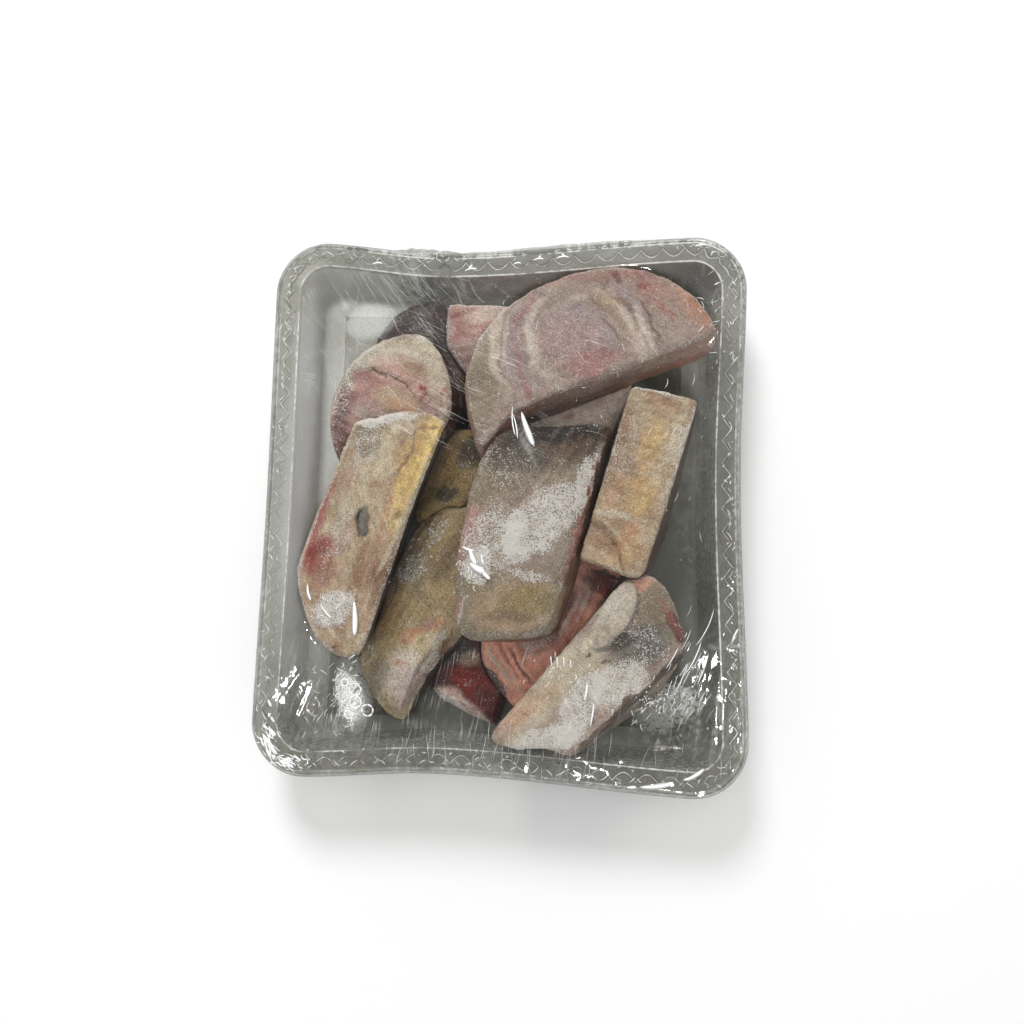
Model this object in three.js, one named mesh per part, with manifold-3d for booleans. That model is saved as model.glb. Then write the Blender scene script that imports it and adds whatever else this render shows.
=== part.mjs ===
// A sealed tray of frozen, sawn cow-foot pieces. Millimetres, +Z up, the pack rests on z = 0.
// The origin is under the middle of the pack, +X across it and +Y along it.
import * as THREE from 'three';
import Module from 'manifold-3d';
import { mergeVertices } from 'three/addons/utils/BufferGeometryUtils.js';

const wasm = await Module();
wasm.setup();

// Tray outline, at the outside of its lip
const HALF_WIDTH = 102;
const HALF_LENGTH = 116.3;
const CORNER_RADIUS = 23;
const LENGTH_TAPER = 0.0165; // the right end of the tray is this much longer, as a share
const BOW_BACK = { depth: 6, peak: -25 };
const BOW_FRONT = { depth: 4.5, peak: -22 };
const BOW_RIGHT = { depth: 3, peak: 10 };
const BOW_LEFT = { depth: 0.8, peak: 0 };

// Tray section
const SHEET = 0.6;
const RIM_HEIGHT = 34;
const LIP_DROP = 4.5;
const LIP_ROUND = 1;
const FLANGE_WIDTH = 10.5;
const STEP_INSET = 5.5; // the wavy step along the middle of the flange
const STEP_HEIGHT = 0.8;
const STEP_RUN = 0.6;
const WAVE_SWING = 1.8;
const WAVES = 88;
const WALL_DRAFT = 3;
const FOOT_ROUND = 2.5;

// Stretch film
const FILM = 0.4;
const GAP = 0.35;
const FOLD_INSET = 13.2; // where the film turns under the base
const HEM_SHARE = 0.72; // the opening left under the base, as a share of the base
const COARSE_RINGS = [0.18, 0.36, 0.52, 0.66];
const FINE_RINGS = [0.77, 0.85, 0.905, 0.955, 1];
const RELAX_STEP = 3;
const RELAX_PASSES = 400;
const OVER_RELAX = 1.7;
const SAMPLE_STEP = 1.5;

// Levels the pack is built up from
const BASE_UNDER = FILM + GAP;
const BASE_TOP = BASE_UNDER + SHEET;
const FOOD_FLOOR = BASE_TOP + GAP;

// Food pieces, from the top of the pile down: each gives way to those before it.
// corners: [x, y, rounding] round the upper face. lean: how far the foot of the piece is shifted.
// crown: how far the middle of the upper face stands up. tilt: degrees about X and Y.
const PIECES = [
  {
    name: 'skin_block_centre', kind: 'slice', top: 54, bottom: 27, crown: 3, edge: 3, lean: [6, 1],
    tilt: [0, 0], color: 0xa59888,
    corners: [[41.5, 32, 4], [22, 29.5, 10], [1.5, 29.5, 5], [-10, 17, 12], [-18, -24, 18],
      [-17.5, -51, 6], [-12, -57, 5], [3, -56.5, 8], [18, -55, 5], [25, -36, 12], [33.5, -1, 16]],
  },
  {
    name: 'half_slice_top', kind: 'slice', top: 51.5, bottom: 27, crown: 0, edge: 1.2, lean: [1, -4],
    tilt: [1, 4.5], color: 0x9b8b80,
    corners: [[87.5, 72, 2], [79, 87, 12], [57, 99.5, 14], [28, 97, 18], [-4, 80, 18],
      [-19, 51, 18], [-9, 20, 4], [3.5, 36.5, 6]],
  },
  {
    name: 'strip_left', kind: 'edge', top: 50, bottom: FOOD_FLOOR, along: 70, crown: 0, edge: 1.5,
    lean: [-7, 0], tilt: [0, 0], color: 0xae9676,
    corners: [[-22.8, 32, 2], [-31, 36.5, 4], [-44, 36, 4], [-53, 32.5, 4], [-61, 32, 4],
      [-81.5, -26, 12], [-82, -36, 8], [-75, -56, 7], [-64, -65.5, 6], [-54, -64.5, 4],
      [-35, -1, 20]],
  },
  {
    name: 'strip_right', kind: 'edge', top: 48, bottom: FOOD_FLOOR, along: 72, crown: 0, edge: 1,
    lean: [7, -1], tilt: [0, 0], color: 0x977f68,
    corners: [[79.4, 42.8, 2], [68, 46, 6], [52, 48.5, 3], [37, -5.4, 20], [31.8, -23.7, 2],
      [43, -26.5, 6], [52.6, -31, 4], [57.4, -30, 3], [66.3, -2.8, 16]],
  },
  {
    name: 'strip_front', kind: 'edge', top: 44, bottom: FOOD_FLOOR, along: 50, crown: 0, edge: 1.5,
    lean: [7, -6], tilt: [0, 0], color: 0xa3978a,
    corners: [[76.5, -55, 5], [67.5, -31.5, 9], [57, -27, 6], [50.5, -30.5, 3], [-1.5, -92.5, 2],
      [-2, -96.5, 2], [8, -100, 5], [19, -98, 6], [30.5, -102, 3], [73.5, -60.5, 4]],
  },
  {
    name: 'knuckle_slice', kind: 'slice', top: 44, bottom: 16, crown: 1, edge: 2, lean: [0, 0],
    tilt: [0, 0], color: 0xa1866f,
    corners: [[-23, 32, 5], [-21.5, 46, 9], [-27.5, 63, 9], [-37, 72.8, 7], [-53, 68.5, 8],
      [-66.5, 58, 8], [-73.5, 42, 9], [-73.5, 27, 8], [-67, 12, 6], [-44, 14, 8]],
  },
  {
    name: 'olive_skin_lower', kind: 'slice', top: 29, bottom: FOOD_FLOOR, crown: 3, edge: 4,
    lean: [0, 0], tilt: [0, 0], color: 0x74644e,
    corners: [[-6, 0, 6], [-26, 3, 8], [-39, -11, 9], [-57, -56, 12], [-60.5, -67, 6],
      [-57, -77, 7], [-47, -89.5, 6], [-39, -92, 3], [-34, -79, 7], [-27, -66, 7], [-14, -54, 8],
      [-6, -30, 8]],
  },
  {
    name: 'olive_skin_upper', kind: 'slice', top: 27, bottom: FOOD_FLOOR, crown: 3, edge: 3,
    lean: [0, 0], tilt: [0, 0], color: 0x55452c,
    corners: [[-17, 35, 5], [-27, 33.5, 4], [-40, -8, 6], [-22, -10, 6], [-3, 2, 6], [-3, 22, 6],
      [-10, 32, 5]],
  },
  {
    name: 'dark_skin_block', kind: 'slice', top: 32, bottom: FOOD_FLOOR, crown: 2, edge: 4,
    lean: [0, 0], tilt: [0, 0], color: 0x51423f,
    corners: [[-28.8, 91, 4], [-43, 89.5, 8], [-59, 74.5, 9], [-60, 50, 8], [-42, 37, 8],
      [-19, 36.5, 5], [-18, 56, 3], [-28.8, 70, 4]],
  },
  {
    name: 'pink_block_back', kind: 'slice', top: 27.5, bottom: FOOD_FLOOR, crown: 0, edge: 1.5,
    lean: [0, 0], tilt: [0, 0], color: 0x886d66,
    corners: [[22, 88, 5], [-27.3, 90.3, 3], [-27.8, 71, 3], [-17.2, 57, 3], [14, 55, 6]],
  },
  {
    name: 'pale_pink_piece', kind: 'slice', top: 27, bottom: FOOD_FLOOR, crown: 1, edge: 2.5,
    lean: [0, 0], tilt: [0, 0], color: 0x806b61,
    corners: [[56, 57, 5], [40, 64, 6], [12, 50, 6], [6, 34, 6], [24, 24, 6], [44, 26, 5],
      [49, 42, 5]],
  },
  {
    name: 'red_flesh_block', kind: 'slice', top: 25.5, bottom: FOOD_FLOOR, crown: 1, edge: 2,
    lean: [0, 0], tilt: [0, 0], color: 0x7c584b,
    corners: [[52, -27, 3], [38, -12, 6], [8, -30, 8], [-9, -56, 5], [-7.5, -68, 4], [7, -86, 3],
      [22, -72, 8]],
  },
  {
    name: 'dark_red_piece', kind: 'slice', top: 17, bottom: FOOD_FLOOR, crown: -1.5, edge: 2.5,
    lean: [0, 0], tilt: [0, 0], color: 0x5c3328,
    corners: [[4, -70, 5], [-3, -52, 6], [-18, -50, 6], [-29, -66, 5], [-31, -80, 6],
      [-13, -88.5, 7], [-1.5, -94, 3]],
  },
];

// How the body of a piece that stands on its curved side narrows from the sawn face down
const EDGE_DEPTHS = [0.04, 0.4, 0.7, 0.9, 1];
const SKIN_BULGE = 1.2;
const ROUND_POINTS = 2;
const CROWN_RING = 0.6;

// Point and outward normal at length s (0 to 1) round the lip, counterclockwise from the right
function lipPoint(s) {
  const straightX = HALF_WIDTH - CORNER_RADIUS;
  const straightY = HALF_LENGTH - CORNER_RADIUS;
  const arc = Math.PI * CORNER_RADIUS / 2;
  const runs = [straightY, arc, 2 * straightX, arc, 2 * straightY, arc, 2 * straightX, arc, straightY];
  const total = runs.reduce((sum, run) => sum + run, 0);
  let left = (s % 1) * total;
  let run = 0;
  while (left > runs[run]) left -= runs[run++];
  const along = left / runs[run];
  const side = Math.ceil(run / 2) % 4; // 0 right, 1 back, 2 left, 3 front
  let angle = side * Math.PI / 2;
  let x;
  let y;
  if (run % 2) {
    const quarter = (run - 1) / 2;
    angle = (quarter + along) * Math.PI / 2;
    const signX = quarter === 0 || quarter === 3 ? 1 : -1;
    const signY = quarter < 2 ? 1 : -1;
    x = signX * straightX + CORNER_RADIUS * Math.cos(angle);
    y = signY * straightY + CORNER_RADIUS * Math.sin(angle);
  } else if (run === 0) [x, y] = [HALF_WIDTH, left];
  else if (run === 8) [x, y] = [HALF_WIDTH, left - straightY];
  else if (run === 2) [x, y] = [straightX - left, HALF_LENGTH];
  else if (run === 4) [x, y] = [-HALF_WIDTH, straightY - left];
  else [x, y] = [left - straightX, -HALF_LENGTH];
  return { x, y, nx: Math.cos(angle), ny: Math.sin(angle) };
}

// A side's inward bow at place u along it: one smooth swell between the corners
function bow({ depth, peak }, u, half) {
  const reach = u > peak ? half - peak : half + peak;
  const t = Math.min(Math.abs(u - peak) / reach, 1);
  return depth * (1 + Math.cos(Math.PI * t)) / 2;
}

// One ring of the tray or film: the lip's outline moved in by inset
function outlineRing(count, inset, z, wave = 0) {
  const ring = [];
  for (let i = 0; i < count; i++) {
    const p = lipPoint(i / count);
    const swing = wave * (i % 2 ? 1 : -1);
    let x = p.x - p.nx * (inset + swing);
    let y = p.y - p.ny * (inset + swing);
    const endY = HALF_LENGTH - CORNER_RADIUS / 2;
    const endX = HALF_WIDTH - CORNER_RADIUS / 2;
    x -= Math.max(p.nx, 0) * bow(BOW_RIGHT, p.y, endY) + Math.min(p.nx, 0) * bow(BOW_LEFT, p.y, endY);
    y -= Math.max(p.ny, 0) * bow(BOW_BACK, p.x, endX) + Math.min(p.ny, 0) * bow(BOW_FRONT, p.x, endX);
    ring.push(new THREE.Vector3(x, y * (1 + LENGTH_TAPER * x / HALF_WIDTH), z));
  }
  return ring;
}

// Joins rings of points, from the middle of one face round to the middle of the other, and caps both
// ends with a fan. Neighbouring rings have equal counts, or one has twice the other's. Past the ring
// numbered turn the facets are split the other way, so both faces of a thin sheet match.
function skinRings(rings, first, last, turn = rings.length) {
  const positions = [];
  const starts = [];
  const add = (p) => positions.push(p.x, p.y, p.z);
  add(first);
  for (const ring of rings) {
    starts.push(positions.length / 3);
    ring.forEach(add);
  }
  add(last);
  const faces = [];
  const end = positions.length / 3 - 1;
  const fan = (hub, start, count, flip) => {
    for (let i = 0; i < count; i++) {
      const a = start + i;
      const b = start + (i + 1) % count;
      faces.push(hub, flip ? b : a, flip ? a : b);
    }
  };
  fan(0, starts[0], rings[0].length, false);
  for (let r = 0; r + 1 < rings.length; r++) {
    const n = rings[r].length;
    const m = rings[r + 1].length;
    const a = (i) => starts[r] + i % n;
    const b = (i) => starts[r + 1] + i % m;
    for (let i = 0; i < Math.min(n, m); i++) {
      if (n === m && r < turn) faces.push(a(i), b(i), b(i + 1), a(i), b(i + 1), a(i + 1));
      else if (n === m) faces.push(a(i), b(i), a(i + 1), b(i), b(i + 1), a(i + 1));
      else if (m > n) {
        faces.push(a(i), b(2 * i), b(2 * i + 1), a(i), b(2 * i + 1), a(i + 1));
        faces.push(a(i + 1), b(2 * i + 1), b(2 * i + 2));
      } else {
        faces.push(b(i), a(2 * i + 1), a(2 * i), b(i), b(i + 1), a(2 * i + 1));
        faces.push(b(i + 1), a(2 * i + 2), a(2 * i + 1));
      }
    }
  }
  fan(end, starts.at(-1), rings.at(-1).length, true);
  const geometry = new THREE.BufferGeometry();
  geometry.setAttribute('position', new THREE.Float32BufferAttribute(positions, 3));
  geometry.setIndex(faces);
  return geometry;
}

// The clear tray: base, drafted wall, flange with its wavy step, and turned-down lip
function trayGeometry() {
  const low = RIM_HEIGHT - STEP_HEIGHT;
  const wallFoot = FLANGE_WIDTH + WALL_DRAFT;
  const stepLow = STEP_INSET + STEP_RUN / 2;
  const stepHigh = STEP_INSET - STEP_RUN / 2;
  const n = WAVES;
  const over = [
    outlineRing(n, wallFoot + FOOT_ROUND, BASE_TOP),
    outlineRing(n, wallFoot, BASE_TOP + FOOT_ROUND),
    outlineRing(n, FLANGE_WIDTH, low),
    outlineRing(2 * n, stepLow, low, WAVE_SWING),
    outlineRing(2 * n, stepHigh, RIM_HEIGHT, WAVE_SWING),
    outlineRing(n, LIP_ROUND, RIM_HEIGHT),
    outlineRing(n, 0, RIM_HEIGHT - LIP_ROUND),
    outlineRing(n, 0, RIM_HEIGHT - LIP_DROP),
  ];
  const under = [
    outlineRing(n, SHEET, RIM_HEIGHT - LIP_DROP),
    outlineRing(n, SHEET, RIM_HEIGHT - LIP_ROUND - SHEET / 2),
    outlineRing(n, LIP_ROUND + SHEET / 2, RIM_HEIGHT - SHEET),
    outlineRing(2 * n, stepHigh, RIM_HEIGHT - SHEET, WAVE_SWING),
    outlineRing(2 * n, stepLow, low - SHEET, WAVE_SWING),
    outlineRing(n, FLANGE_WIDTH - SHEET, low - SHEET),
    outlineRing(n, wallFoot - SHEET, BASE_TOP + FOOT_ROUND - SHEET / 2),
    outlineRing(n, wallFoot + FOOT_ROUND - SHEET / 2, BASE_UNDER),
  ];
  return skinRings([...over, ...under], new THREE.Vector3(0, 0, BASE_TOP),
    new THREE.Vector3(0, 0, BASE_UNDER), over.length);
}

// The outline of a cut face: each corner [x, y, rounding] becomes a short curve
function faceOutline(corners) {
  const points = [];
  corners.forEach(([x, y, rounding], i) => {
    const corner = new THREE.Vector2(x, y);
    const [before, after] = [corners.at(i - 1), corners[(i + 1) % corners.length]].map(([px, py]) => {
      const side = new THREE.Vector2(px - x, py - y);
      return corner.clone().addScaledVector(side.clone().normalize(),
        Math.min(rounding, 0.45 * side.length()));
    });
    points.push(...new THREE.QuadraticBezierCurve(before, corner, after).getPoints(ROUND_POINTS));
  });
  return points;
}

// Moves each point of an outline outwards by grow, or inwards where grow is negative
function offsetOutline(outline, grow) {
  return outline.map((p, i) => {
    const along = outline[(i + 1) % outline.length].clone().sub(outline.at(i - 1)).normalize();
    return new THREE.Vector2(p.x + along.y * grow, p.y - along.x * grow);
  });
}

// One sawn piece. grow makes the same piece that much larger all round, to cut its neighbours with.
function pieceGeometry(piece, grow = 0) {
  const outline = offsetOutline(faceOutline(piece.corners), grow);
  const top = piece.top + grow;
  const bottom = piece.bottom - grow;
  const height = top - bottom;
  const middle = outline.reduce((sum, p) => sum.add(p), new THREE.Vector2())
    .divideScalar(outline.length);
  const ringAt = (points, z, scale = 1) => points.map((p) => {
    const share = (top - z) / height;
    return new THREE.Vector3(
      middle.x + (p.x - middle.x) * scale + piece.lean[0] * share,
      middle.y + (p.y - middle.y) * scale + piece.lean[1] * share, z);
  });
  const rings = [];
  if (piece.crown) {
    rings.push(ringAt(outline, top, CROWN_RING));
    rings[0].forEach((p) => { p.z += piece.crown * (1 - CROWN_RING ** 2); });
  }
  rings.push(ringAt(offsetOutline(outline, -piece.edge), top));
  if (piece.kind === 'edge') {
    // The half slice is a half ellipse seen along its width, so only its length narrows
    const axis = new THREE.Vector2(Math.cos(piece.along * Math.PI / 180),
      Math.sin(piece.along * Math.PI / 180));
    for (const depth of EDGE_DEPTHS) {
      const narrow = Math.sqrt(1 - 0.9 * depth * depth);
      const squeezed = outline.map((p) => {
        const length = p.clone().sub(middle).dot(axis);
        return p.clone().addScaledVector(axis, length * (narrow - 1));
      });
      rings.push(ringAt(squeezed, top - height * depth));
    }
  } else {
    rings.push(ringAt(outline, top - piece.edge));
    rings.push(ringAt(offsetOutline(outline, SKIN_BULGE), top - height / 2));
    rings.push(ringAt(outline, bottom + piece.edge));
    rings.push(ringAt(offsetOutline(outline, -piece.edge), bottom));
  }
  const crown = new THREE.Vector3(middle.x, middle.y, top + piece.crown);
  const foot = new THREE.Vector3(middle.x + piece.lean[0], middle.y + piece.lean[1], bottom);
  const geometry = skinRings(rings, crown, foot);
  const centre = new THREE.Vector3(middle.x, middle.y, (top + bottom) / 2);
  geometry.translate(-centre.x, -centre.y, -centre.z);
  geometry.rotateX(piece.tilt[0] * Math.PI / 180);
  geometry.rotateY(piece.tilt[1] * Math.PI / 180);
  geometry.translate(centre.x, centre.y, centre.z);
  return geometry;
}

function toSolid(geometry) {
  const merged = mergeVertices(geometry);
  return new wasm.Manifold(new wasm.Mesh({
    numProp: 3,
    vertProperties: Float32Array.from(merged.attributes.position.array),
    triVerts: Uint32Array.from(merged.index.array),
  }));
}

function fromSolid(solid) {
  const mesh = solid.getMesh();
  const geometry = new THREE.BufferGeometry();
  const { numProp, vertProperties } = mesh;
  const positions = new Float32Array(mesh.numVert * 3);
  for (let i = 0; i < mesh.numVert; i++) {
    for (let axis = 0; axis < 3; axis++) positions[3 * i + axis] = vertProperties[numProp * i + axis];
  }
  geometry.setAttribute('position', new THREE.BufferAttribute(positions, 3));
  geometry.setIndex([...mesh.triVerts]);
  return geometry;
}

// Every piece of food, each cut back where an earlier one lies against it
function foodGeometries() {
  const cutters = [];
  return PIECES.map((piece) => {
    let solid = toSolid(pieceGeometry(piece));
    for (const cutter of cutters) solid = solid.subtract(cutter);
    const parts = solid.decompose().sort((a, b) => b.volume() - a.volume());
    cutters.push(toSolid(pieceGeometry(piece, GAP)));
    return fromSolid(parts[0]);
  });
}

// Calls visit(x, y, z) at each point of a square grid that lies under a triangle
function sampleTriangle([a, b, c], step, visit) {
  const area = (b.x - a.x) * (c.y - a.y) - (b.y - a.y) * (c.x - a.x);
  if (Math.abs(area) < 1e-9) return;
  const low = (axis) => Math.ceil(Math.min(a[axis], b[axis], c[axis]) / step) * step;
  const high = (axis) => Math.max(a[axis], b[axis], c[axis]);
  for (let x = low('x'); x <= high('x'); x += step) {
    for (let y = low('y'); y <= high('y'); y += step) {
      const v = ((x - a.x) * (c.y - a.y) - (y - a.y) * (c.x - a.x)) / area;
      const w = ((b.x - a.x) * (y - a.y) - (b.y - a.y) * (x - a.x)) / area;
      if (v >= 0 && w >= 0 && v + w <= 1) visit(x, y, a.z + v * (b.z - a.z) + w * (c.z - a.z));
    }
  }
}

function* trianglesOf(geometry) {
  const { array } = geometry.attributes.position;
  const point = (i) => new THREE.Vector3().fromArray(array, 3 * i);
  const index = geometry.index.array;
  for (let i = 0; i < index.length; i += 3) yield [point(index[i]), point(index[i + 1]), point(index[i + 2])];
}

// The height of the food on a square grid, as a map from cell to height. Each sample also counts
// for the cells beside it, so that an edge between two samples isn't missed.
function foodHeights(foods, step) {
  const heights = new Map();
  const raise = (i, j, z) => {
    const key = `${i},${j}`;
    if (!(heights.get(key) > z)) heights.set(key, z);
  };
  for (const food of foods) {
    for (const triangle of trianglesOf(food)) {
      sampleTriangle(triangle, step, (x, y, z) => {
        const i = Math.round(x / step);
        const j = Math.round(y / step);
        for (let di = -1; di <= 1; di++) {
          for (let dj = -1; dj <= 1; dj++) raise(i + di, j + dj, z);
        }
      });
    }
  }
  return heights;
}

// A taut membrane from the rim over the food: relaxed on a grid, never lower than what it covers
function membrane(foods) {
  const columns = Math.ceil(HALF_WIDTH / RELAX_STEP);
  const rows = Math.ceil(HALF_LENGTH / RELAX_STEP);
  const width = 2 * columns + 1;
  const heights = foodHeights(foods, RELAX_STEP);
  const rest = RIM_HEIGHT + GAP;
  const cover = [];
  for (let j = -rows; j <= rows; j++) {
    for (let i = -columns; i <= columns; i++) {
      const food = Math.max(heights.get(`${i},${j}`) ?? 0, 0);
      const edge = Math.max(Math.abs(i) * RELAX_STEP - HALF_WIDTH, Math.abs(j) * RELAX_STEP - HALF_LENGTH);
      cover.push(Math.max(food + GAP, edge > -FLANGE_WIDTH ? rest : 0));
    }
  }
  const level = cover.map((z) => Math.max(z, rest));
  for (let pass = 0; pass < RELAX_PASSES; pass++) {
    for (let j = 1; j < 2 * rows; j++) {
      for (let i = 1; i < 2 * columns; i++) {
        const k = j * width + i;
        const mean = (level[k - 1] + level[k + 1] + level[k - width] + level[k + width]) / 4;
        level[k] = Math.max(cover[k], level[k] + OVER_RELAX * (mean - level[k]));
      }
    }
  }
  return (x, y) => {
    const u = THREE.MathUtils.clamp(x / RELAX_STEP + columns, 0, 2 * columns - 1e-6);
    const v = THREE.MathUtils.clamp(y / RELAX_STEP + rows, 0, 2 * rows - 1e-6);
    const i = Math.floor(u);
    const j = Math.floor(v);
    const at = (di, dj) => level[(j + dj) * width + i + di];
    const near = THREE.MathUtils.lerp(at(0, 0), at(1, 0), u - i);
    const far = THREE.MathUtils.lerp(at(0, 1), at(1, 1), u - i);
    return THREE.MathUtils.lerp(near, far, v - j);
  };
}

// The film's top, as rings from near the middle out to the rim, lifted until no facet cuts the food
function filmTop(foods) {
  const heightAt = membrane(foods);
  const ringAt = (count, size) => outlineRing(count, LIP_ROUND, 0)
    .map((p) => new THREE.Vector3(p.x * size, p.y * size, heightAt(p.x * size, p.y * size)));
  const rings = [
    ...COARSE_RINGS.map((size) => ringAt(WAVES / 2, size)),
    ...FINE_RINGS.map((size) => ringAt(WAVES, size)),
  ];
  const hub = new THREE.Vector3(0, 0, heightAt(0, 0));
  const points = [hub, ...rings.flat()];
  const cap = skinRings(rings, hub, new THREE.Vector3(0, 0, 0));
  const topFaces = cap.index.array.slice(0, cap.index.count - 3 * WAVES);
  const heights = foodHeights(foods, SAMPLE_STEP);
  for (let i = 0; i < topFaces.length; i += 3) {
    const corners = [0, 1, 2].map((k) => points[topFaces[i + k]]);
    let lift = 0;
    sampleTriangle(corners, SAMPLE_STEP, (x, y, z) => {
      const food = heights.get(`${Math.round(x / SAMPLE_STEP)},${Math.round(y / SAMPLE_STEP)}`) ?? 0;
      lift = Math.max(lift, food + GAP - z);
    });
    for (const corner of corners) corner.z += lift;
  }
  for (const p of rings.at(-1)) p.z = RIM_HEIGHT + GAP;
  return { hub, rings };
}

// The stretch film: over the food, round the lip, in to the base and turned under it
function filmGeometry(foods) {
  const { hub, rings } = filmTop(foods);
  const raised = (p) => new THREE.Vector3(p.x, p.y, p.z + FILM);
  const hem = (z) => outlineRing(WAVES, FOLD_INSET, z)
    .map((p) => new THREE.Vector3(p.x * HEM_SHARE, p.y * HEM_SHARE, z));
  const n = WAVES;
  const lipFoot = RIM_HEIGHT - LIP_DROP - GAP;
  const outside = [
    outlineRing(n, -GAP - FILM, RIM_HEIGHT - LIP_ROUND + FILM),
    outlineRing(n, -GAP - FILM, lipFoot - FILM / 2),
    outlineRing(n, FOLD_INSET - FILM, 0),
    hem(0),
  ];
  const inside = [
    hem(FILM),
    outlineRing(n, FOLD_INSET, FILM),
    outlineRing(n, -GAP, lipFoot),
    outlineRing(n, -GAP, RIM_HEIGHT - LIP_ROUND + GAP / 2),
  ];
  const over = [...rings.map((ring) => ring.map(raised)), ...outside];
  return skinRings([...over, ...inside, ...[...rings].reverse()], raised(hub), hub, over.length);
}

function addMesh(group, name, geometry, material) {
  const mesh = new THREE.Mesh(geometry, new THREE.MeshStandardMaterial(material));
  mesh.name = name;
  group.add(mesh);
}

const pack = new THREE.Group();
const foods = foodGeometries();
addMesh(pack, 'tray', trayGeometry(),
  { color: 0x8f908a, roughness: 0.15, metalness: 0, transparent: true, opacity: 0.5 });
addMesh(pack, 'film', filmGeometry(foods),
  { color: 0xdfe2de, roughness: 0.1, metalness: 0, transparent: true, opacity: 0.2 });
PIECES.forEach(({ name, color }, i) => {
  addMesh(pack, name, foods[i], { color, roughness: 0.7, metalness: 0 });
});

export default pack;
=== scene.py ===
import math
from collections import namedtuple
from functools import reduce
from itertools import starmap

import bmesh
import bpy
import numpy as np
from mathutils import Matrix, Vector


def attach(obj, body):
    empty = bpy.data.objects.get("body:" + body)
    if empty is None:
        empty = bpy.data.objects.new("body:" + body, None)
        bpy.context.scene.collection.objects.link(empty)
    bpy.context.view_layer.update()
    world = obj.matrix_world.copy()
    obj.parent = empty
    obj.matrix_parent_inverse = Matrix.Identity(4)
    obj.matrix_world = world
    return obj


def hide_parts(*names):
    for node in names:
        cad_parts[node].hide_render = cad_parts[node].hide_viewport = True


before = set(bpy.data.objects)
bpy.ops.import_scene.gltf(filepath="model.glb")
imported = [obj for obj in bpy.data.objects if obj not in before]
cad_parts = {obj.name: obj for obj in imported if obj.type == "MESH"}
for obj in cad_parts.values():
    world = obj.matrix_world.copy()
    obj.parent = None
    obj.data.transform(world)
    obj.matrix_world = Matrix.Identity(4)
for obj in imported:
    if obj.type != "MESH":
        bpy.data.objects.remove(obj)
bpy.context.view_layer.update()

# A sealed tray of frozen, sawn cow-foot pieces. Sizes are in millimetres until a mesh is made.
MM = 0.001

# The tray's outline and section, as in the part's source. Insets are measured in from its lip.
HALF_WIDTH, HALF_LENGTH, CORNER_RADIUS = 102, 116.3, 23
LENGTH_TAPER = 0.0165
BOW_BACK, BOW_FRONT, BOW_RIGHT, BOW_LEFT = (6, -25), (4.5, -22), (3, 10), (0.8, 0)  # depth, peak
SHEET, RIM_HEIGHT, LIP_DROP, FLANGE_WIDTH, WALL_DRAFT = 0.6, 34, 4.5, 10.5, 3
STEP_INSET, STEP_HEIGHT, STEP_RUN, WAVE_SWING, WAVES = 5.5, 0.8, 0.6, 1.8, 88
BASE_UNDER, BASE_TOP = 0.75, 1.35  # heights of the base's two faces
FOOT_RADIUS, SHOULDER_RADIUS, LIP_RADIUS = 3.2, 1.2, 1.1  # where the wall meets the base and the flange
AROUND = 8 * WAVES  # points round the tray

# The film: its thickness, how far it stands off, and the inset of its fold and its hem under the base
FILM, GAP, FOLD_INSET, HEM_SHARE = 0.15, 0.35, 13.2, 0.36
REST = RIM_HEIGHT + GAP  # the film's height on the rim
LIP_FOOT = RIM_HEIGHT - LIP_DROP - GAP

# The camera, at the photograph's viewing angle: its place, what it looks at, its right hand side, lens
EYE, AIM, RIGHT_HAND = (25, -48, 414), (4, -3.2, 34), (0.9983, 0.026, -0.0522)
LENS, SENSOR = 32.0, 36.0

# Paints, as 0 to 255 screen values
PAINTS = {
    "cream": (208, 196, 172), "pale": (192, 178, 164), "bone": (168, 148, 138), "rind": (152, 138, 120),
    "chalk": (226, 210, 196), "frost": (226, 221, 216), "frost white": (226, 224, 212),
    "yellow": (232, 200, 128), "ochre": (204, 166, 108), "mustard": (180, 148, 84), "straw": (196, 172, 122),
    "khaki": (176, 154, 116), "olive": (150, 130, 88), "sage": (138, 126, 106), "tan": (178, 150, 122),
    "orange": (204, 148, 112), "russet": (150, 112, 86), "brown": (124, 88, 68), "umber": (84, 62, 52),
    "hide": (50, 38, 34), "black": (42, 38, 38), "slate": (100, 96, 92), "plum": (84, 64, 70),
    "lavender": (172, 152, 156), "flesh": (206, 158, 144), "pink": (180, 140, 132), "rose": (168, 104, 100),
    "salmon": (216, 146, 122), "raw": (255, 178, 152), "red": (146, 58, 54), "blood": (120, 30, 24),
    "maroon": (84, 30, 30),
}


def paint(name):
    """A paint's colour in linear light"""
    rgb = np.array(PAINTS[name]) / 255
    return (*np.where(rgb <= 0.04045, rgb / 12.92, ((rgb + 0.055) / 1.055) ** 2.4), 1)


# Numbers over the surface

def ease(t):
    """0 to 1 with soft ends"""
    t = np.clip(t, 0, 1)
    return t * t * (3 - 2 * t)


def lumps(points, size, seed=0):
    """Smooth random swells about size across, from -1 to 1, at each point"""
    place = points / size + seed * 17.31
    cell = np.floor(place).astype(np.int64)
    part = place - cell
    part = part * part * (3 - 2 * part)
    total = np.zeros(len(points))
    for corner in np.ndindex(2, 2, 2):
        at = cell + corner
        mixed = at[:, 0] * 73856093 ^ at[:, 1] * 19349663 ^ at[:, 2] * 83492791 ^ seed * 668265263
        mixed = (mixed ^ mixed >> 13) * 1274126177 & 0x7FFFFFFF
        mixed = (mixed ^ mixed >> 15) & 0xFFFF
        weight = np.prod(np.where(corner, part, 1 - part), axis=1)
        total += weight * (mixed / 32767.5 - 1)
    return total


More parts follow.
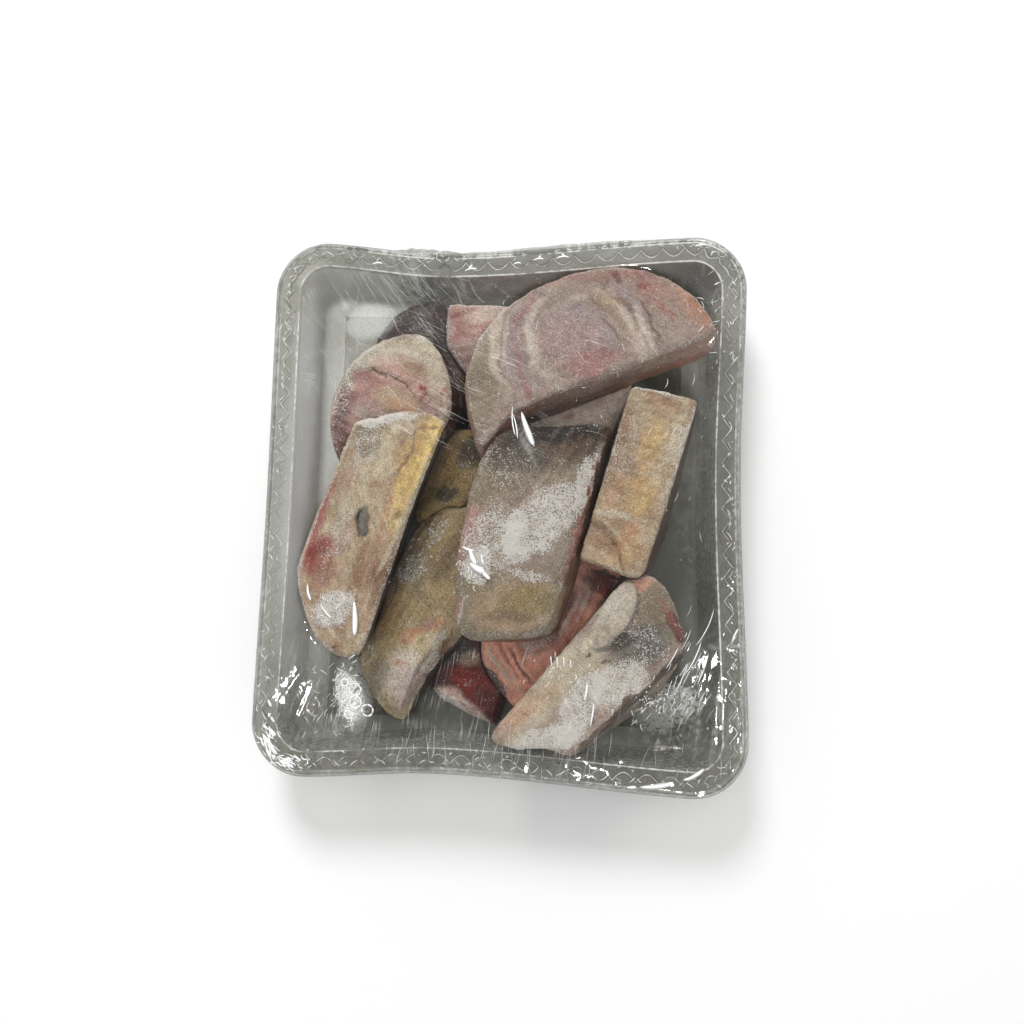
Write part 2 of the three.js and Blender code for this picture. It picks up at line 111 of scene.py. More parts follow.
def swells(points, seed, *layers):
    """Random swells of several sizes laid together, each given as its strength, size and own seed"""
    return sum(strength * lumps(points, size, seed + own) for strength, size, own in layers)


# A mark on a piece: an ellipse with half lengths long and wide, turned by degrees. what is a paint,
# or frost, bare (free of frost), stubble, hair or beads of ice. soft is the share of it that fades,
# rise how far the surface stands up there, and sag how far its ends bend away.
Mark = namedtuple("Mark", "what x y long wide turn soft amount rise sag", defaults=(0, 0.4, 1, 0, 0))


def heading(degrees):
    return np.array([math.cos(math.radians(degrees)), math.sin(math.radians(degrees))])


def mark_mask(points, mark):
    east, north = points[:, 0] - mark.x, points[:, 1] - mark.y
    along_x, along_y = heading(mark.turn)
    along = east * along_x + north * along_y
    across = north * along_x - east * along_y - mark.sag * (along / mark.long) ** 2
    reach = np.hypot(along / mark.long, across / mark.wide)
    soft = 0.6 * mark.soft
    return ease((1 + soft - reach) / (2 * soft))


# Meshes

def build(name, points, faces, finish):
    """A smooth piece at the origin, from points in millimetres"""
    mesh = bpy.data.meshes.new(name)
    mesh.from_pydata((np.asarray(points) * MM).tolist(), [], faces)
    mesh.shade_smooth()
    mesh.materials.append(finish)
    return place_mesh(name, mesh)


def place_mesh(name, mesh):
    piece = bpy.data.objects.new(name, mesh)
    bpy.context.scene.collection.objects.link(piece)
    return piece


def points_of(mesh, what="vertices", field="co"):
    layer = getattr(mesh, what)
    values = np.zeros(len(layer) * 3, np.float32)
    layer.foreach_get(field, values)
    return values.reshape(-1, 3).astype(float)


def finished(piece):
    """The piece with its modifiers made real, in place of the one given"""
    mesh = bpy.data.meshes.new_from_object(piece.evaluated_get(bpy.context.evaluated_depsgraph_get()))
    name, old = piece.name, piece.data
    bpy.data.objects.remove(piece)
    if old.users == 0:
        bpy.data.meshes.remove(old)
    mesh.name = name
    return place_mesh(name, mesh)


def hand_over(piece, slot, *nodes):
    """Puts the piece on the body it rides on and hides the solids that it stands for; slot is not used"""
    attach(piece, "root")
    if nodes:
        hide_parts(*nodes)


def point_values(mesh, **values):
    """Numbers on the mesh's points, by name, for its finish and for what stands on it"""
    for key, numbers in values.items():
        mesh.attributes.new(key, "FLOAT", "POINT").data.foreach_set("value", numbers.astype(np.float32))


# The tray's outline

def lip_points(share):
    """Points and outward directions at shares of the lip's length, counterclockwise from the right"""
    flat_x, flat_y = HALF_WIDTH - CORNER_RADIUS, HALF_LENGTH - CORNER_RADIUS
    arc = math.pi * CORNER_RADIUS / 2
    runs = np.array([flat_y, arc, 2 * flat_x, arc, 2 * flat_y, arc, 2 * flat_x, arc, flat_y])
    ends = np.cumsum(runs)
    at = share % 1 * ends[-1]
    run = np.minimum(np.searchsorted(ends, at, side="right"), len(runs) - 1)
    left = at - (ends - runs)[run]
    turning = run % 2
    angle = (run // 2 + turning * left / arc) * math.pi / 2
    starts = np.array([(flat_x, 0), (flat_x, flat_y), (-flat_x, flat_y), (-flat_x, -flat_y),
                       (flat_x, -flat_y)])
    out = np.stack([np.cos(angle), np.sin(angle)], axis=1)
    ahead = np.stack([-out[:, 1], out[:, 0]], axis=1)
    points = starts[(run + 1) // 2] + ahead * (left * (1 - turning))[:, None] + out * CORNER_RADIUS
    return points, out


def bow(bend, u, half):
    """How far a side is drawn in at u along it"""
    depth, peak = bend
    reach = np.where(u > peak, half - peak, half + peak)
    return depth * (1 + np.cos(np.pi * np.minimum(np.abs(u - peak) / reach, 1))) / 2


def outline(share, inset, z):
    """Points round the tray, moved in from the outside of its lip by inset"""
    points, out = lip_points(share)
    x, y = (points - out * np.reshape(inset, (-1, 1))).T
    end_x, end_y = HALF_WIDTH - CORNER_RADIUS / 2, HALF_LENGTH - CORNER_RADIUS / 2
    east, north = out.T
    x = x - np.maximum(east, 0) * bow(BOW_RIGHT, points[:, 1], end_y)
    x = x - np.minimum(east, 0) * bow(BOW_LEFT, points[:, 1], end_y)
    y = y - np.maximum(north, 0) * bow(BOW_BACK, points[:, 0], end_x)
    y = y - np.minimum(north, 0) * bow(BOW_FRONT, points[:, 0], end_x)
    return np.stack([x, y * (1 + LENGTH_TAPER * x / HALF_WIDTH), np.broadcast_to(z, x.shape)], axis=1)


def skin(rings, first, last):
    """A closed shell over rings with equal counts, from the middle of one face to that of the other"""
    count = len(rings[0])
    points = np.concatenate([[first], *rings, [last]])
    i = np.arange(count)
    after = (i + 1) % count
    faces = np.stack([np.zeros(count, int), 1 + i, 1 + after], axis=1).tolist()
    for r in range(len(rings) - 1):
        a, b = 1 + r * count, 1 + (r + 1) * count
        faces += np.stack([a + i, b + i, b + after, a + after], axis=1).tolist()
    end = 1 + (len(rings) - 1) * count
    faces += np.stack([np.full(count, len(points) - 1), end + after, end + i], axis=1).tolist()
    return points, faces


# Wiring of finishes

class Wiring:
    """A material's or group's node tree, with short ways to add nodes to it"""

    def __init__(self, tree):
        self.tree = tree

    def add(self, kind, inputs=(), out=0, **settings):
        node = self.tree.nodes.new(kind)
        for key, value in settings.items():
            setattr(node, key, value)
        for key, value in dict(inputs).items():
            if isinstance(value, bpy.types.NodeSocket):
                self.tree.links.new(value, node.inputs[key])
            else:
                node.inputs[key].default_value = value
        return node if out is None or not node.outputs else node.outputs[out]

    def math(self, operation, a, b=0.0, clamp=False):
        return self.add("ShaderNodeMath", {0: a, 1: b}, operation=operation, use_clamp=clamp)

    def move(self, operation, a, b=(0, 0, 0), out=0):
        return self.add("ShaderNodeVectorMath", {0: a, 1: b}, out, operation=operation)

    def mix(self, share, a, b, blend="MIX"):
        return self.add("ShaderNodeMix", {0: share, 6: a, 7: b}, 2, data_type="RGBA", blend_type=blend)

    def fade(self, value, low, high, to_low=0.0, to_high=1.0):
        return self.add("ShaderNodeMapRange", {0: value, 1: low, 2: high, 3: to_low, 4: to_high},
                        interpolation_type="SMOOTHSTEP")

    def noise(self, place, size, detail=2.0, out=0):
        return self.add("ShaderNodeTexNoise", {"Vector": place, "Scale": 1 / size, "Detail": detail}, out)

    def group(self, group, inputs, out=0):
        return self.add("ShaderNodeGroup", inputs, out, node_tree=group)

    def millimetres(self):
        return self.move("MULTIPLY", self.add("ShaderNodeTexCoord", out="Object"), (1000, 1000, 1000))

    def attribute(self, key, out="Fac"):
        return self.add("ShaderNodeAttribute", out=out, attribute_name=key)

    def turned(self, place, angle, back=True):
        return self.add("ShaderNodeVectorRotate", {"Vector": place, "Angle": angle},
                        rotation_type="Z_AXIS", invert=back)

    def product(self, a, b):
        return self.math("MULTIPLY", a, b)

    def total(self, a, *others, clamp=False):
        """The sum of the values in turn, kept within 0 to 1 at the last if it is clamped"""
        for i, b in enumerate(others):
            a = self.math("ADD", a, b, clamp=clamp and i == len(others) - 1)
        return a

    def plain(self, colour, rough, **more):
        """Ends a solid finish"""
        named = {key.replace("_", " "): value for key, value in more.items()}
        shader = self.add("ShaderNodeBsdfPrincipled", {"Base Color": colour, "Roughness": rough, **named})
        self.add("ShaderNodeOutputMaterial", {"Surface": shader})


SOCKETS = {float: "NodeSocketFloat", tuple: "NodeSocketVector"}


def new_group(name, inputs, outputs):
    """A shader node group: its tree, its wiring, its inputs by name, and a call that joins an output"""
    tree = bpy.data.node_groups.new(name, "ShaderNodeTree")
    for key, value in {"Place": (0.0, 0.0, 0.0), **inputs}.items():
        kind = SOCKETS[type(value)]
        tree.interface.new_socket(key, in_out="INPUT", socket_type=kind).default_value = value
    for key in outputs:
        tree.interface.new_socket(key, in_out="OUTPUT", socket_type="NodeSocketFloat")
    given = tree.nodes.new("NodeGroupInput").outputs
    sink = tree.nodes.new("NodeGroupOutput").inputs

    def give(key, socket):
        tree.links.new(socket, sink[key])
    return tree, Wiring(tree), given, give


def patch_group():
    """One soft ellipse on the surface, bent and turned, seen from above"""
    tree, w, given, give = new_group(
        "patch", {"Centre": (0.0, 0.0, 0.0), "Half Size": (1.0, 1.0, 1.0), "Turn": 0.0, "Sag": 0.0,
                  "Softness": 0.4, "Amount": 1.0}, ["Mask"])
    turned = w.turned(w.move("SUBTRACT", given["Place"], given["Centre"]), given["Turn"])
    sized = w.move("DIVIDE", turned, given["Half Size"])
    along, north, _ = w.add("ShaderNodeSeparateXYZ", {0: sized}, None).outputs
    square = w.product(along, along)
    across = w.math("SUBTRACT", north, w.product(square, given["Sag"]))
    reach = w.math("SQRT", w.total(square, w.product(across, across)))
    mask = w.fade(reach, w.total(1.0, given["Softness"]), w.math("SUBTRACT", 1.0, given["Softness"]))
    give("Mask", w.product(mask, given["Amount"]))
    return tree


def frost_group():
    """Granular frost: sparse grains where the amount is small, a broken crust where it is large"""
    tree, w, given, give = new_group("frost", {"Amount": 0.0}, ["Mask", "Height"])
    grains, drift = w.noise(given["Place"], 0.65), w.noise(given["Place"], 3.6)
    level = w.total(w.product(w.math("SUBTRACT", grains, 0.5), 3.2),
                    w.product(w.math("SUBTRACT", drift, 0.5), 1.1), given["Amount"])
    mask = w.fade(level, 0.4, 1.0)
    give("Mask", mask)
    give("Height", w.product(mask, grains))
    return tree


def stubble_group():
    """Clipped hair: short dark flecks that lean one way"""
    tree, w, given, give = new_group("stubble", {"Amount": 0.0}, ["Mask"])
    lean = w.add("ShaderNodeMapping", {
        "Vector": given["Place"], "Rotation": (0, 0, 1.1), "Scale": (1, 0.45, 1)})
    cells = w.add("ShaderNodeTexVoronoi", {"Vector": lean, "Scale": 1.5, "Randomness": 1.0})
    size = w.product(w.noise(given["Place"], 2.4), 0.62)
    fleck = w.fade(cells, size, w.product(size, 0.6))
    give("Mask", w.math("MULTIPLY", fleck, given["Amount"], clamp=True))
    return tree


def grain_group():
    """The sawn or skinned surface: fine grain and the saw's scratches"""
    tree, w, given, give = new_group("grain", {"Turn": 0.0}, ["Tone", "Height"])
    fine = w.noise(given["Place"], 0.62, 3.0)
    turned = w.turned(given["Place"], given["Turn"], False)
    scratches = w.noise(w.move("MULTIPLY", turned, (0.12, 1.3, 1.0)), 0.8)
    tone = w.total(w.product(fine, 1.7), w.product(scratches, 0.7))
    give("Tone", w.math("MAXIMUM", w.math("SUBTRACT", tone, 0.24), 0.15))
    give("Height", w.total(w.product(fine, 0.7), w.product(scratches, 0.5)))
    return tree


def streak_group():
    """Fine pulled lines in stretched film, lying along one direction"""
    tree, w, given, give = new_group(
        "film_streaks", {"Turn": 0.0, "Width": 0.6, "Length": 30.0, "Keep": 0.5, "Gate": 0.5}, ["Mask"])
    shape = w.add("ShaderNodeCombineXYZ", {0: w.math("DIVIDE", 1.0, given["Length"]),
                                           1: w.math("DIVIDE", 1.0, given["Width"]), 2: 0.05})
    lines = w.noise(w.move("MULTIPLY", w.turned(given["Place"], given["Turn"]), shape), 1.0, 1.0)
    level = w.total(lines, w.product(w.math("SUBTRACT", given["Gate"], 0.5), 0.6))
    give("Mask", w.fade(level, w.math("SUBTRACT", 0.82, w.product(given["Keep"], 0.3)), 0.84))
    return tree


PATCH, FROST, STUBBLE, GRAIN, STREAKS = (
    patch_group(), frost_group(), stubble_group(), grain_group(), streak_group())


def new_finish(name):
    material = bpy.data.materials.new(name)
    material.use_nodes = True
    material.node_tree.nodes.clear()
    return material, Wiring(material.node_tree)


def see_through(w, share, shader, tints):
    """Ends a see-through finish: a share of the shader over what is seen through it. The lamps' light, and
    the light that the food throws back, pass through tints of their own instead"""
    seen, lamps, thrown = (w.add("ShaderNodeBsdfTransparent", {"Color": (*tint, 1)}) for tint in tints)
    body = w.add("ShaderNodeMixShader", {0: share, 1: seen, 2: shader})
    for ray, tint in (("Is Diffuse Ray", thrown), ("Is Shadow Ray", lamps)):
        path = w.add("ShaderNodeLightPath", out=ray)
        body = w.add("ShaderNodeMixShader", {0: path, 1: body, 2: tint})
    w.add("ShaderNodeOutputMaterial", {"Surface": body})


def patches(w, place, marks):
    """Where the marks lie, as one mask in a finish"""
    masks = [w.group(PATCH, {
        "Place": place, "Centre": (mark.x, mark.y, 0), "Half Size": (mark.long, mark.wide, 1),
        "Turn": math.radians(mark.turn), "Sag": mark.sag / mark.wide, "Softness": mark.soft,
        "Amount": mark.amount}) for mark in marks]
    return strongest(w, masks)


def strongest(w, masks):
    return reduce(lambda a, b: w.math("MAXIMUM", a, b), masks)


# The food's finishes

# How a piece looks. top and side: paints of the sawn or upper face and of the flanks. blush: paint of
# the broad blotches. light, dark: paints of the strands along the saw's direction, and fibre: how
# strongly they show. saw: direction of its scratches. frost, rim: frost all over and along the edges.
# rough: height of the lumps. hair: how thickly hair stands all over. The last two are the marks on
# the top and on the flanks, each laid over those before it.
Look = namedtuple("Look", "slot top side blush light dark saw frost rim rough hair fibre marks side_marks",
                  defaults=((),))

LOOKS = {
    "skin_block_centre": Look(
        "frosted_skin", "sage", "brown", "rind", "cream", "brown", 60, 0.22, 0.35, 0.55, 0, 0.12, (
        ("bare", 22, 24, 24, 9, -4, 0.4, 0.95), ("umber", 14, 20, 20, 9, -6, 0.5, 0.7),
        ("black", 20, 28, 27, 5.5, 2, 0.7), ("slate", 8, 19, 15, 9, 0, 0.5, 0.45),
        ("umber", 33, 22, 7, 5, -30, 0.8, 0.7), ("umber", -3, 20, 10, 4, 30, 0.8, 0.55),
        ("black", 16, 24, 9, 2.4, -12, 0.8, 0.6), ("umber", 27, 18, 12, 5, -4, 0.8, 0.5),
        ("pink", 28, 1, 6, 4, 40, 0.8, 0.5), ("frost", 1, 13, 9, 8, 0, 0.8, 0.28),
        ("pink", -13, -16, 12, 5, 75, 0.6, 0.95), ("bare", -15, -14, 11, 3, 75, 0.6, 0.7),
        ("rose", -16, -47, 9, 2, 90, 0.6, 0.6), ("bone", 12, -12, 24, 18, 45, 0.6, 0.6),
        ("tan", 8, -43, 19, 10, 5, 0.5, 0.8), ("olive", 14, -41, 12, 6, 10, 0.6, 0.85),
        ("umber", 4, -47, 10, 2, 0, 0.8, 0.4), ("olive", -8, -33, 5, 3, 40, 0.6, 0.35),
        ("frost", 37, 12, 15, 4, 68, 0.5, 0.75), ("frost", 17, -9, 19, 10, 48, 0.5, 0.8),
        ("frost", -2, -16, 13, 12, 60, 0.5, 0.55), ("frost", 12, -31, 10, 2.5, -8, 0.6, 0.6, 0, 1.5),
        ("frost", -9, -28, 5, 7, 0, 0.5, 0.8), ("bare", 34.5, -13, 50, 3, 77, 0.25, 0.95),
        ("brown", 34.5, -13, 50, 3, 77, 0.25, 0.95), ("rose", 33, -4, 30, 1.4, 77, 0.6, 0.6),
        ("stubble", 20, 26, 22, 6, 4, 0.5), ("stubble", 6, 10, 16, 13, 0, 0.5, 0.75),
        ("stubble", 8, -40, 20, 9, 0, 0.5, 0.35), ("hair", 24, 27, 19, 5, 3),
        ("hair", 6, 16, 14, 10, 0, 0.5, 0.5)), (
        ("russet", 36, -10, 26, 4, 77, 0.6, 0.6), ("maroon", 30, -30, 12, 4, 70, 0.8, 0.4),
        ("umber", 20, -58, 16, 3, 0, 0.8, 0.5))),
    "half_slice_top": Look(
        "frozen_cut_face", "bone", "flesh", "bone", "pale", "brown", 28, 0.34, 0.35, 0.35, 0, 0.16, (
        ("rind", -13, 50, 12, 24, 0, 0.4, 0.95), ("pale", -10, 66, 4, 14, -20, 0.7, 0.4),
        ("lavender", 5, 62, 20, 6, 92, 0.6, 0.55, 0, -3), ("rose", 8, 78, 8, 1.6, 55, 0.6, 0.4),
        ("rose", 5, 58, 13, 1.6, 92, 0.8, 0.3, 0, -3), ("rose", 10, 44, 7, 1.4, -55, 0.6, 0.5),
        ("lavender", 29, 67, 15, 14, -20, 0.35, 0.7), ("pink", 27, 64, 13, 12, -20, 0.5, 0.5),
        ("rose", 36, 57, 11, 5, 20, 0.7, 0.55), ("chalk", -5, 63, 18, 2.2, 90, 0.7, 0.7, 0.15, -5),
        ("chalk", -1, 64, 15, 0.9, 88, 0.6, 0.4, 0, -4),
        ("chalk", 9.5, 67, 18, 2.2, 92, 0.8, 0.7, 0.15, -7),
        ("chalk", 12.5, 66, 14, 0.8, 90, 0.6, 0.4, 0, -6), ("pale", 20, 50, 9, 1.6, -32, 0.6, 0.6, 0, -1),
        ("pale", 28, 83, 12, 1.4, 12, 0.6, 0.4, 0, -2),
        ("chalk", 51, 72, 18, 3.0, -56, 0.8, 0.65, 0.2, -2), ("lavender", 50, 84, 10, 3, -46, 0.6, 0.7),
        ("brown", 45, 77, 13, 1.8, -46, 0.6, 0.5, 0, -1.4),
        ("chalk", 57.5, 73, 13, 1.4, -62, 0.6, 0.6, 0, -1.5),
        ("umber", 60, 76, 10, 0.7, -60, 0.5, 0.75, -0.4, -1), ("tan", 42, 84, 6, 2.5, -30, 0.7, 0.6),
        ("slate", 45.5, 93, 3, 1.8, -50, 0.5, 0.9, -0.4), ("umber", 51, 80, 3, 1.4, -40, 0.6, 0.5),
        ("red", 57, 90, 2.4, 1.6, 20, 0.6, 0.85), ("rose", 62, 86, 9, 6, -60, 0.9, 0.5),
        ("rose", 52, 95, 10, 2, 0, 0.9, 0.4), ("bone", 68, 80, 9, 7, 0, 0.7, 0.6),
        ("orange", 80, 82, 12, 2.4, -50, 0.7, 0.55), ("salmon", 77, 80, 10, 4, -50, 0.8, 0.4),
        ("salmon", 73, 91, 8, 2, -38, 0.8, 0.45), ("rose", 34, 93, 22, 2, 4, 0.9, 0.35, 0, -2),
        ("orange", 10, 38, 12, 1.2, 28, 0.8, 0.35), ("pale", 60, 58, 16, 1.2, 28, 0.6, 0.5),
        ("frost", 27, 66, 14, 13, 0, 0.5, 0.12), ("frost", -2, 80, 20, 2.6, 55, 0.6, 0.45),
        ("brown", 48, 83, 5, 1.4, -20, 0.8, 0.5), ("plum", 40, 90, 3, 1.2, 60, 0.6, 0.5),
        ("rose", 66, 80, 7, 1.2, -50, 0.7, 0.5, 0, -1), ("umber", 44, 71, 6, 0.7, -58, 0.7, 0.5, 0, -0.6)), (
        ("umber", 27, 42, 21, 5, 21, 0.5, 0.6), ("hide", 14, 36, 9, 4, 30, 0.6, 0.6),
        ("orange", 58, 57, 11, 5, 26, 0.7, 0.9), ("rose", 46, 51, 6, 3, 26, 0.8, 0.6),
        ("salmon", 76, 66, 9, 4, 26, 0.7, 0.6))),
    "strip_left": Look(
        "frozen_fat", "tan", "umber", "cream", "cream", "brown", 75, 0.2, 0.75, 0.35, 0, 0.3, (
        ("ochre", -33, 17, 17, 9, 72, 0.4, 0.8), ("yellow", -30, 20, 15, 4.5, 72, 0.5, 0.95),
        ("yellow", -40, 0, 17, 4, 75, 0.6, 0.6), ("cream", -47, 22, 13, 4, 75, 0.6, 0.5),
        ("sage", -56, 24, 8, 5.5, 70, 0.5, 0.8), ("brown", -37.5, 20, 9.5, 0.8, 72, 0.5, 0.75, -0.5, 2),
        ("brown", -31, 28.5, 5.5, 0.8, 3, 0.5, 0.7, -0.5, -0.5),
        ("ochre", -33, 23, 7, 2.5, 70, 0.5, 0.8, 0.4), ("orange", -46.5, -5, 13, 1.2, 77, 0.6, 0.5),
        ("russet", -51, -26, 11, 8, 70, 0.6, 0.8), ("brown", -47, -34, 7, 3, 72, 0.7, 0.6),
        ("cream", -60, 2, 12, 7, 72, 0.6, 0.55), ("pink", -63, 6, 10, 3, 72, 0.7, 0.4),
        ("brown", -42.2, -8, 2.6, 1.8, 60, 0.5, 0.6, -0.4), ("cream", -37, -9, 12, 1.6, 70, 0.5, 0.6),
        ("rose", -74, -10, 18, 2, 71, 0.5, 0.9), ("red", -73, -24, 8, 6, 60, 0.5, 0.85),
        ("blood", -74, -22, 5, 3, 60, 0.7, 0.5), ("red", -70.5, -33, 6, 4, 40, 0.7, 0.6),
        ("pink", -66, -20, 6, 3, 60, 0.8, 0.5), ("brown", -48.5, -31, 5, 3, 60, 0.8, 0.4),
        ("brown", -56, -37, 5, 3, 20, 0.8, 0.35), ("cream", -44, -20, 14, 1.3, 69, 0.5, 0.6),
        ("slate", -56, -10, 7, 2.1, 80, 0.25, 1, -1.4), ("black", -57.5, -10, 6, 0.5, 80, 0.4, 0.8, -0.4),
        ("rose", -50, 6, 2.5, 1.5, 0, 0.8, 0.3), ("lavender", -67, -47, 9, 6, 45, 0.5, 0.7),
        ("tan", -63, -59, 7, 4, 10, 0.5, 0.7), ("brown", -57, -44, 2.4, 0.8, 80, 0.5, 0.8, -0.5),
        ("umber", -66, -61, 1.6, 1, 0, 0.5, 0.8), ("frost", -66, -46, 10, 6, 30, 0.5, 0.9),
        ("frost", -48, 33, 14, 2.6, 6, 0.5, 0.9), ("frost", -56, 22, 10, 6, 72, 0.5, 0.45),
        ("frost", -66, -16, 16, 5, 70, 0.6, 0.35), ("frost", -27, 16, 12, 2, 70, 0.5, 0.6),
        ("stubble", -57, 24, 9, 5, 72, 0.5, 0.5)), (
        # The black flank mark along the right edge is a painted shadow line
        ("maroon", -76, -20, 22, 5, 72, 0.6, 0.7), ("black", -36, -14, 34, 5, 72, 0.5, 0.8))),
    "strip_right": Look(
        "frozen_fat", "tan", "umber", "cream", "cream", "brown", -25, 0.25, 0.5, 0.3, 0, 0.3, (
        ("ochre", 61, 24, 11, 5, 75, 0.7, 0.6), ("yellow", 63, 27, 7, 2, 72, 0.8, 0.25),
        ("ochre", 57, 3, 8, 6.5, 60, 0.7, 0.6), ("yellow", 58, 0, 6, 2, 70, 0.8, 0.4),
        ("sage", 49, 20, 12, 4, 76, 0.6, 0.35), ("cream", 70.5, 27, 14, 2.4, 73, 0.6, 0.5),
        ("brown", 56, 41, 8, 0.6, 2, 0.5, 0.55, -0.3, 0.5), ("cream", 55, 44, 9, 1.2, -5, 0.6, 0.4),
        ("orange", 46, 4, 9, 3, 75, 0.8, 0.4), ("cream", 47, -4.8, 13, 1.2, -12, 0.5, 0.8, 0.3, -2),
        ("ochre", 45, -19, 12, 6, -5, 0.7, 0.6), ("bone", 39, -20, 6, 4, 0, 0.7, 0.6),
        ("russet", 42, -15, 11, 4.5, -50, 0.6, 0.7),
        ("brown", 44.5, -16, 12.5, 1, -52, 0.5, 0.95, -0.6, -2),
        ("cream", 47.5, -12.5, 11, 0.9, -50, 0.5, 0.7, 0.3, -2), ("russet", 49, 30, 14, 2.5, 76, 0.6, 0.6),
        ("brown", 40, -9.5, 5, 0.8, -25, 0.5, 0.5), ("orange", 51, -14, 9, 2.5, 60, 0.7, 0.5),
        ("brown", 34, 2, 22, 0.8, 74, 0.5, 0.5), ("russet", 62, 43, 9, 3, -5, 0.7, 0.5),
        ("frost", 63, 47, 16, 2, -8, 0.6, 0.5), ("frost", 50, 22, 16, 5, 75, 0.6, 0.3),
        ("frost", 72, 20, 20, 2, 72, 0.6, 0.45))),
    "strip_front": Look(
        "frozen_cartilage", "bone", "rind", "cream", "cream", "brown", 45, 0.25, 0.45, 0.3, 0, 0.2, (
        ("cream", 22, -74, 24, 9, 44, 0.6, 0.7), ("orange", 14, -82, 13, 5, 38, 0.8, 0.4),
        ("salmon", 8, -88, 9, 3, 30, 0.8, 0.3), ("sage", 62, -44, 14, 11, -50, 0.5, 0.9),
        ("salmon", 57, -33, 5, 2.5, 20, 0.7, 0.7), ("maroon", 72.5, -51, 10, 2.6, -56, 0.5, 0.95),
        ("rose", 69, -46, 10, 1.4, -58, 0.7, 0.5),
        # The slate crescent below and right of the raised pale oval is a painted shadow line along its edge
        ("slate", 49, -48, 15.5, 5.4, 59, 0.11, 0.85, -0.5, 1.6),
        ("pale", 47, -46, 15.4, 6, 59, 0.08, 1, 0.8, 1.5),
        ("frost white", 46.5, -43, 10, 3.4, 59, 0.8, 0.4, 0, 1), ("tan", 43, -52, 5, 3, 59, 0.9, 0.3),
        ("cream", 36, -57, 6, 1.8, 65, 0.4, 0.8, 0.4), ("umber", 37.5, -62, 1.3, 0.7, 30, 0.5, 0.9),
        ("black", 44, -63, 2, 0.8, 20, 0.5, 0.8), ("slate", 57, -58, 13, 7, 20, 0.7, 0.95),
        ("black", 49, -57, 6, 2.4, 40, 0.7, 0.7), ("plum", 60, -54, 8, 3, -30, 0.7, 0.4),
        ("olive", 12, -99, 14, 0.9, -5, 0.6, 0.9, 0, 2), ("brown", 12, -86, 2.5, 0.4, -45, 0.5, 0.5),
        ("bare", 46.5, -46, 16, 5.5, 59, 0.11, 1, 0, 1.5), ("bare", 16, -80, 14, 5, 40, 0.5, 0.6),
        ("stubble", 55, -58, 13, 6, 20, 0.5), ("stubble", 55, -66, 12, 6, 40, 0.5, 0.5),
        ("frost", 60, -54, 10, 6, -40, 0.6, 0.3), ("frost", 50, -72, 13, 8, 42, 0.5, 0.75),
        ("frost", 33, -82, 15, 6, 62, 0.6, 0.8), ("frost", 20, -95, 16, 4, 8, 0.5, 0.8),
        # The umber and plum bands along the lower right edge, and the flank marks, are partly the sawn
        # side's own colour and partly painted shade of that side
        ("bare", 54, -80, 30, 2.6, 43, 0.4, 0.9), ("umber", 54, -80, 31, 2.6, 43, 0.4, 0.85),
        ("plum", 48, -87, 18, 1, 43, 0.8, 0.5)), (
        ("umber", 66, -70, 16, 12, 50, 0.6, 0.8), ("plum", 52, -86, 20, 7, 45, 0.6, 0.8))),
    "knuckle_slice": Look(
        "frozen_cut_face", "bone", "maroon", "pink", "cream", "brown", 150, 0.3, 0.45, 0.5, 0, 0.3, (
        ("cream", -46, 64, 24, 5, 8, 0.5, 0.8, 0.3, -6),
        ("cream", -27, 50, 20, 4.4, -78, 0.5, 0.8, 0.3, -3), ("chalk", -44, 60, 14, 3, 0, 0.7, 0.8, 0, -2),
        ("flesh", -44, 52, 14, 7, -20, 0.6, 0.6), ("tan", -39, 57, 8, 3.5, -25, 0.6, 0.7),
        ("pink", -53, 44, 13, 9, -20, 0.4, 0.75, 0.7), ("rose", -57, 49, 8, 5, -20, 0.6, 0.4),
        ("tan", -45, 41, 10, 6, -20, 0.6, 0.8, 0.3), ("orange", -42, 39, 6, 3.5, -20, 0.7, 0.45),
        ("umber", -47, 52.5, 13, 0.8, -30, 0.5, 0.85, -0.9, -3.5),
        ("brown", -56, 55, 4, 0.7, 30, 0.5, 0.6, -0.4), ("red", -33.6, 48.2, 2.4, 1.3, -30, 0.4, 0.95),
        ("red", -34, 43, 3.4, 1.2, 60, 0.5, 0.7), ("brown", -38, 57, 4, 1.5, -20, 0.7, 0.4),
        ("pink", -27, 41, 6, 4, 70, 0.7, 0.6), ("rose", -25.5, 44, 4, 0.9, 70, 0.6, 0.7),
        ("rose", -68, 33, 15, 5, 82, 0.6, 0.95), ("maroon", -69, 28, 14, 4, 85, 0.8, 0.85),
        ("plum", -66, 38, 7, 3, 70, 0.8, 0.5), ("sage", -67, 47, 5, 3, 60, 0.6, 0.6),
        ("brown", -69, 44.5, 2, 1.6, 0, 0.5, 0.6), ("frost", -68, 42, 12, 3.4, 80, 0.6, 0.35),
        ("frost", -60, 60, 10, 5, 40, 0.6, 0.35))),
    "dark_skin_block": Look(
        "dark_skin", "hide", "hide", "plum", "cream", "brown", 0, 0.03, 0.05, 0.6, 0.3, 0.1, (
        ("plum", -33, 80, 8, 5, 40, 0.6, 0.35), ("umber", -22, 50, 13, 3, 88, 0.5, 0.6),
        ("plum", -44, 76, 12, 4, 45, 0.6, 0.35), ("frost", -50, 71, 5, 2, 45, 0.6, 0.2))),
    "pink_block_back": Look(
        "frozen_cut_face", "pink", "pink", "chalk", "cream", "brown", 20, 0.5, 0.8, 0.8, 0, 0.15, (
        ("red", -20, 85, 6, 1.6, 30, 0.8, 0.7, 0, 0.8), ("rose", -14, 81, 5, 2, -50, 0.6, 0.7),
        ("rose", -22, 78, 4, 2, 60, 0.6, 0.6), ("chalk", -10, 84, 9, 4, 0, 0.7, 0.7),
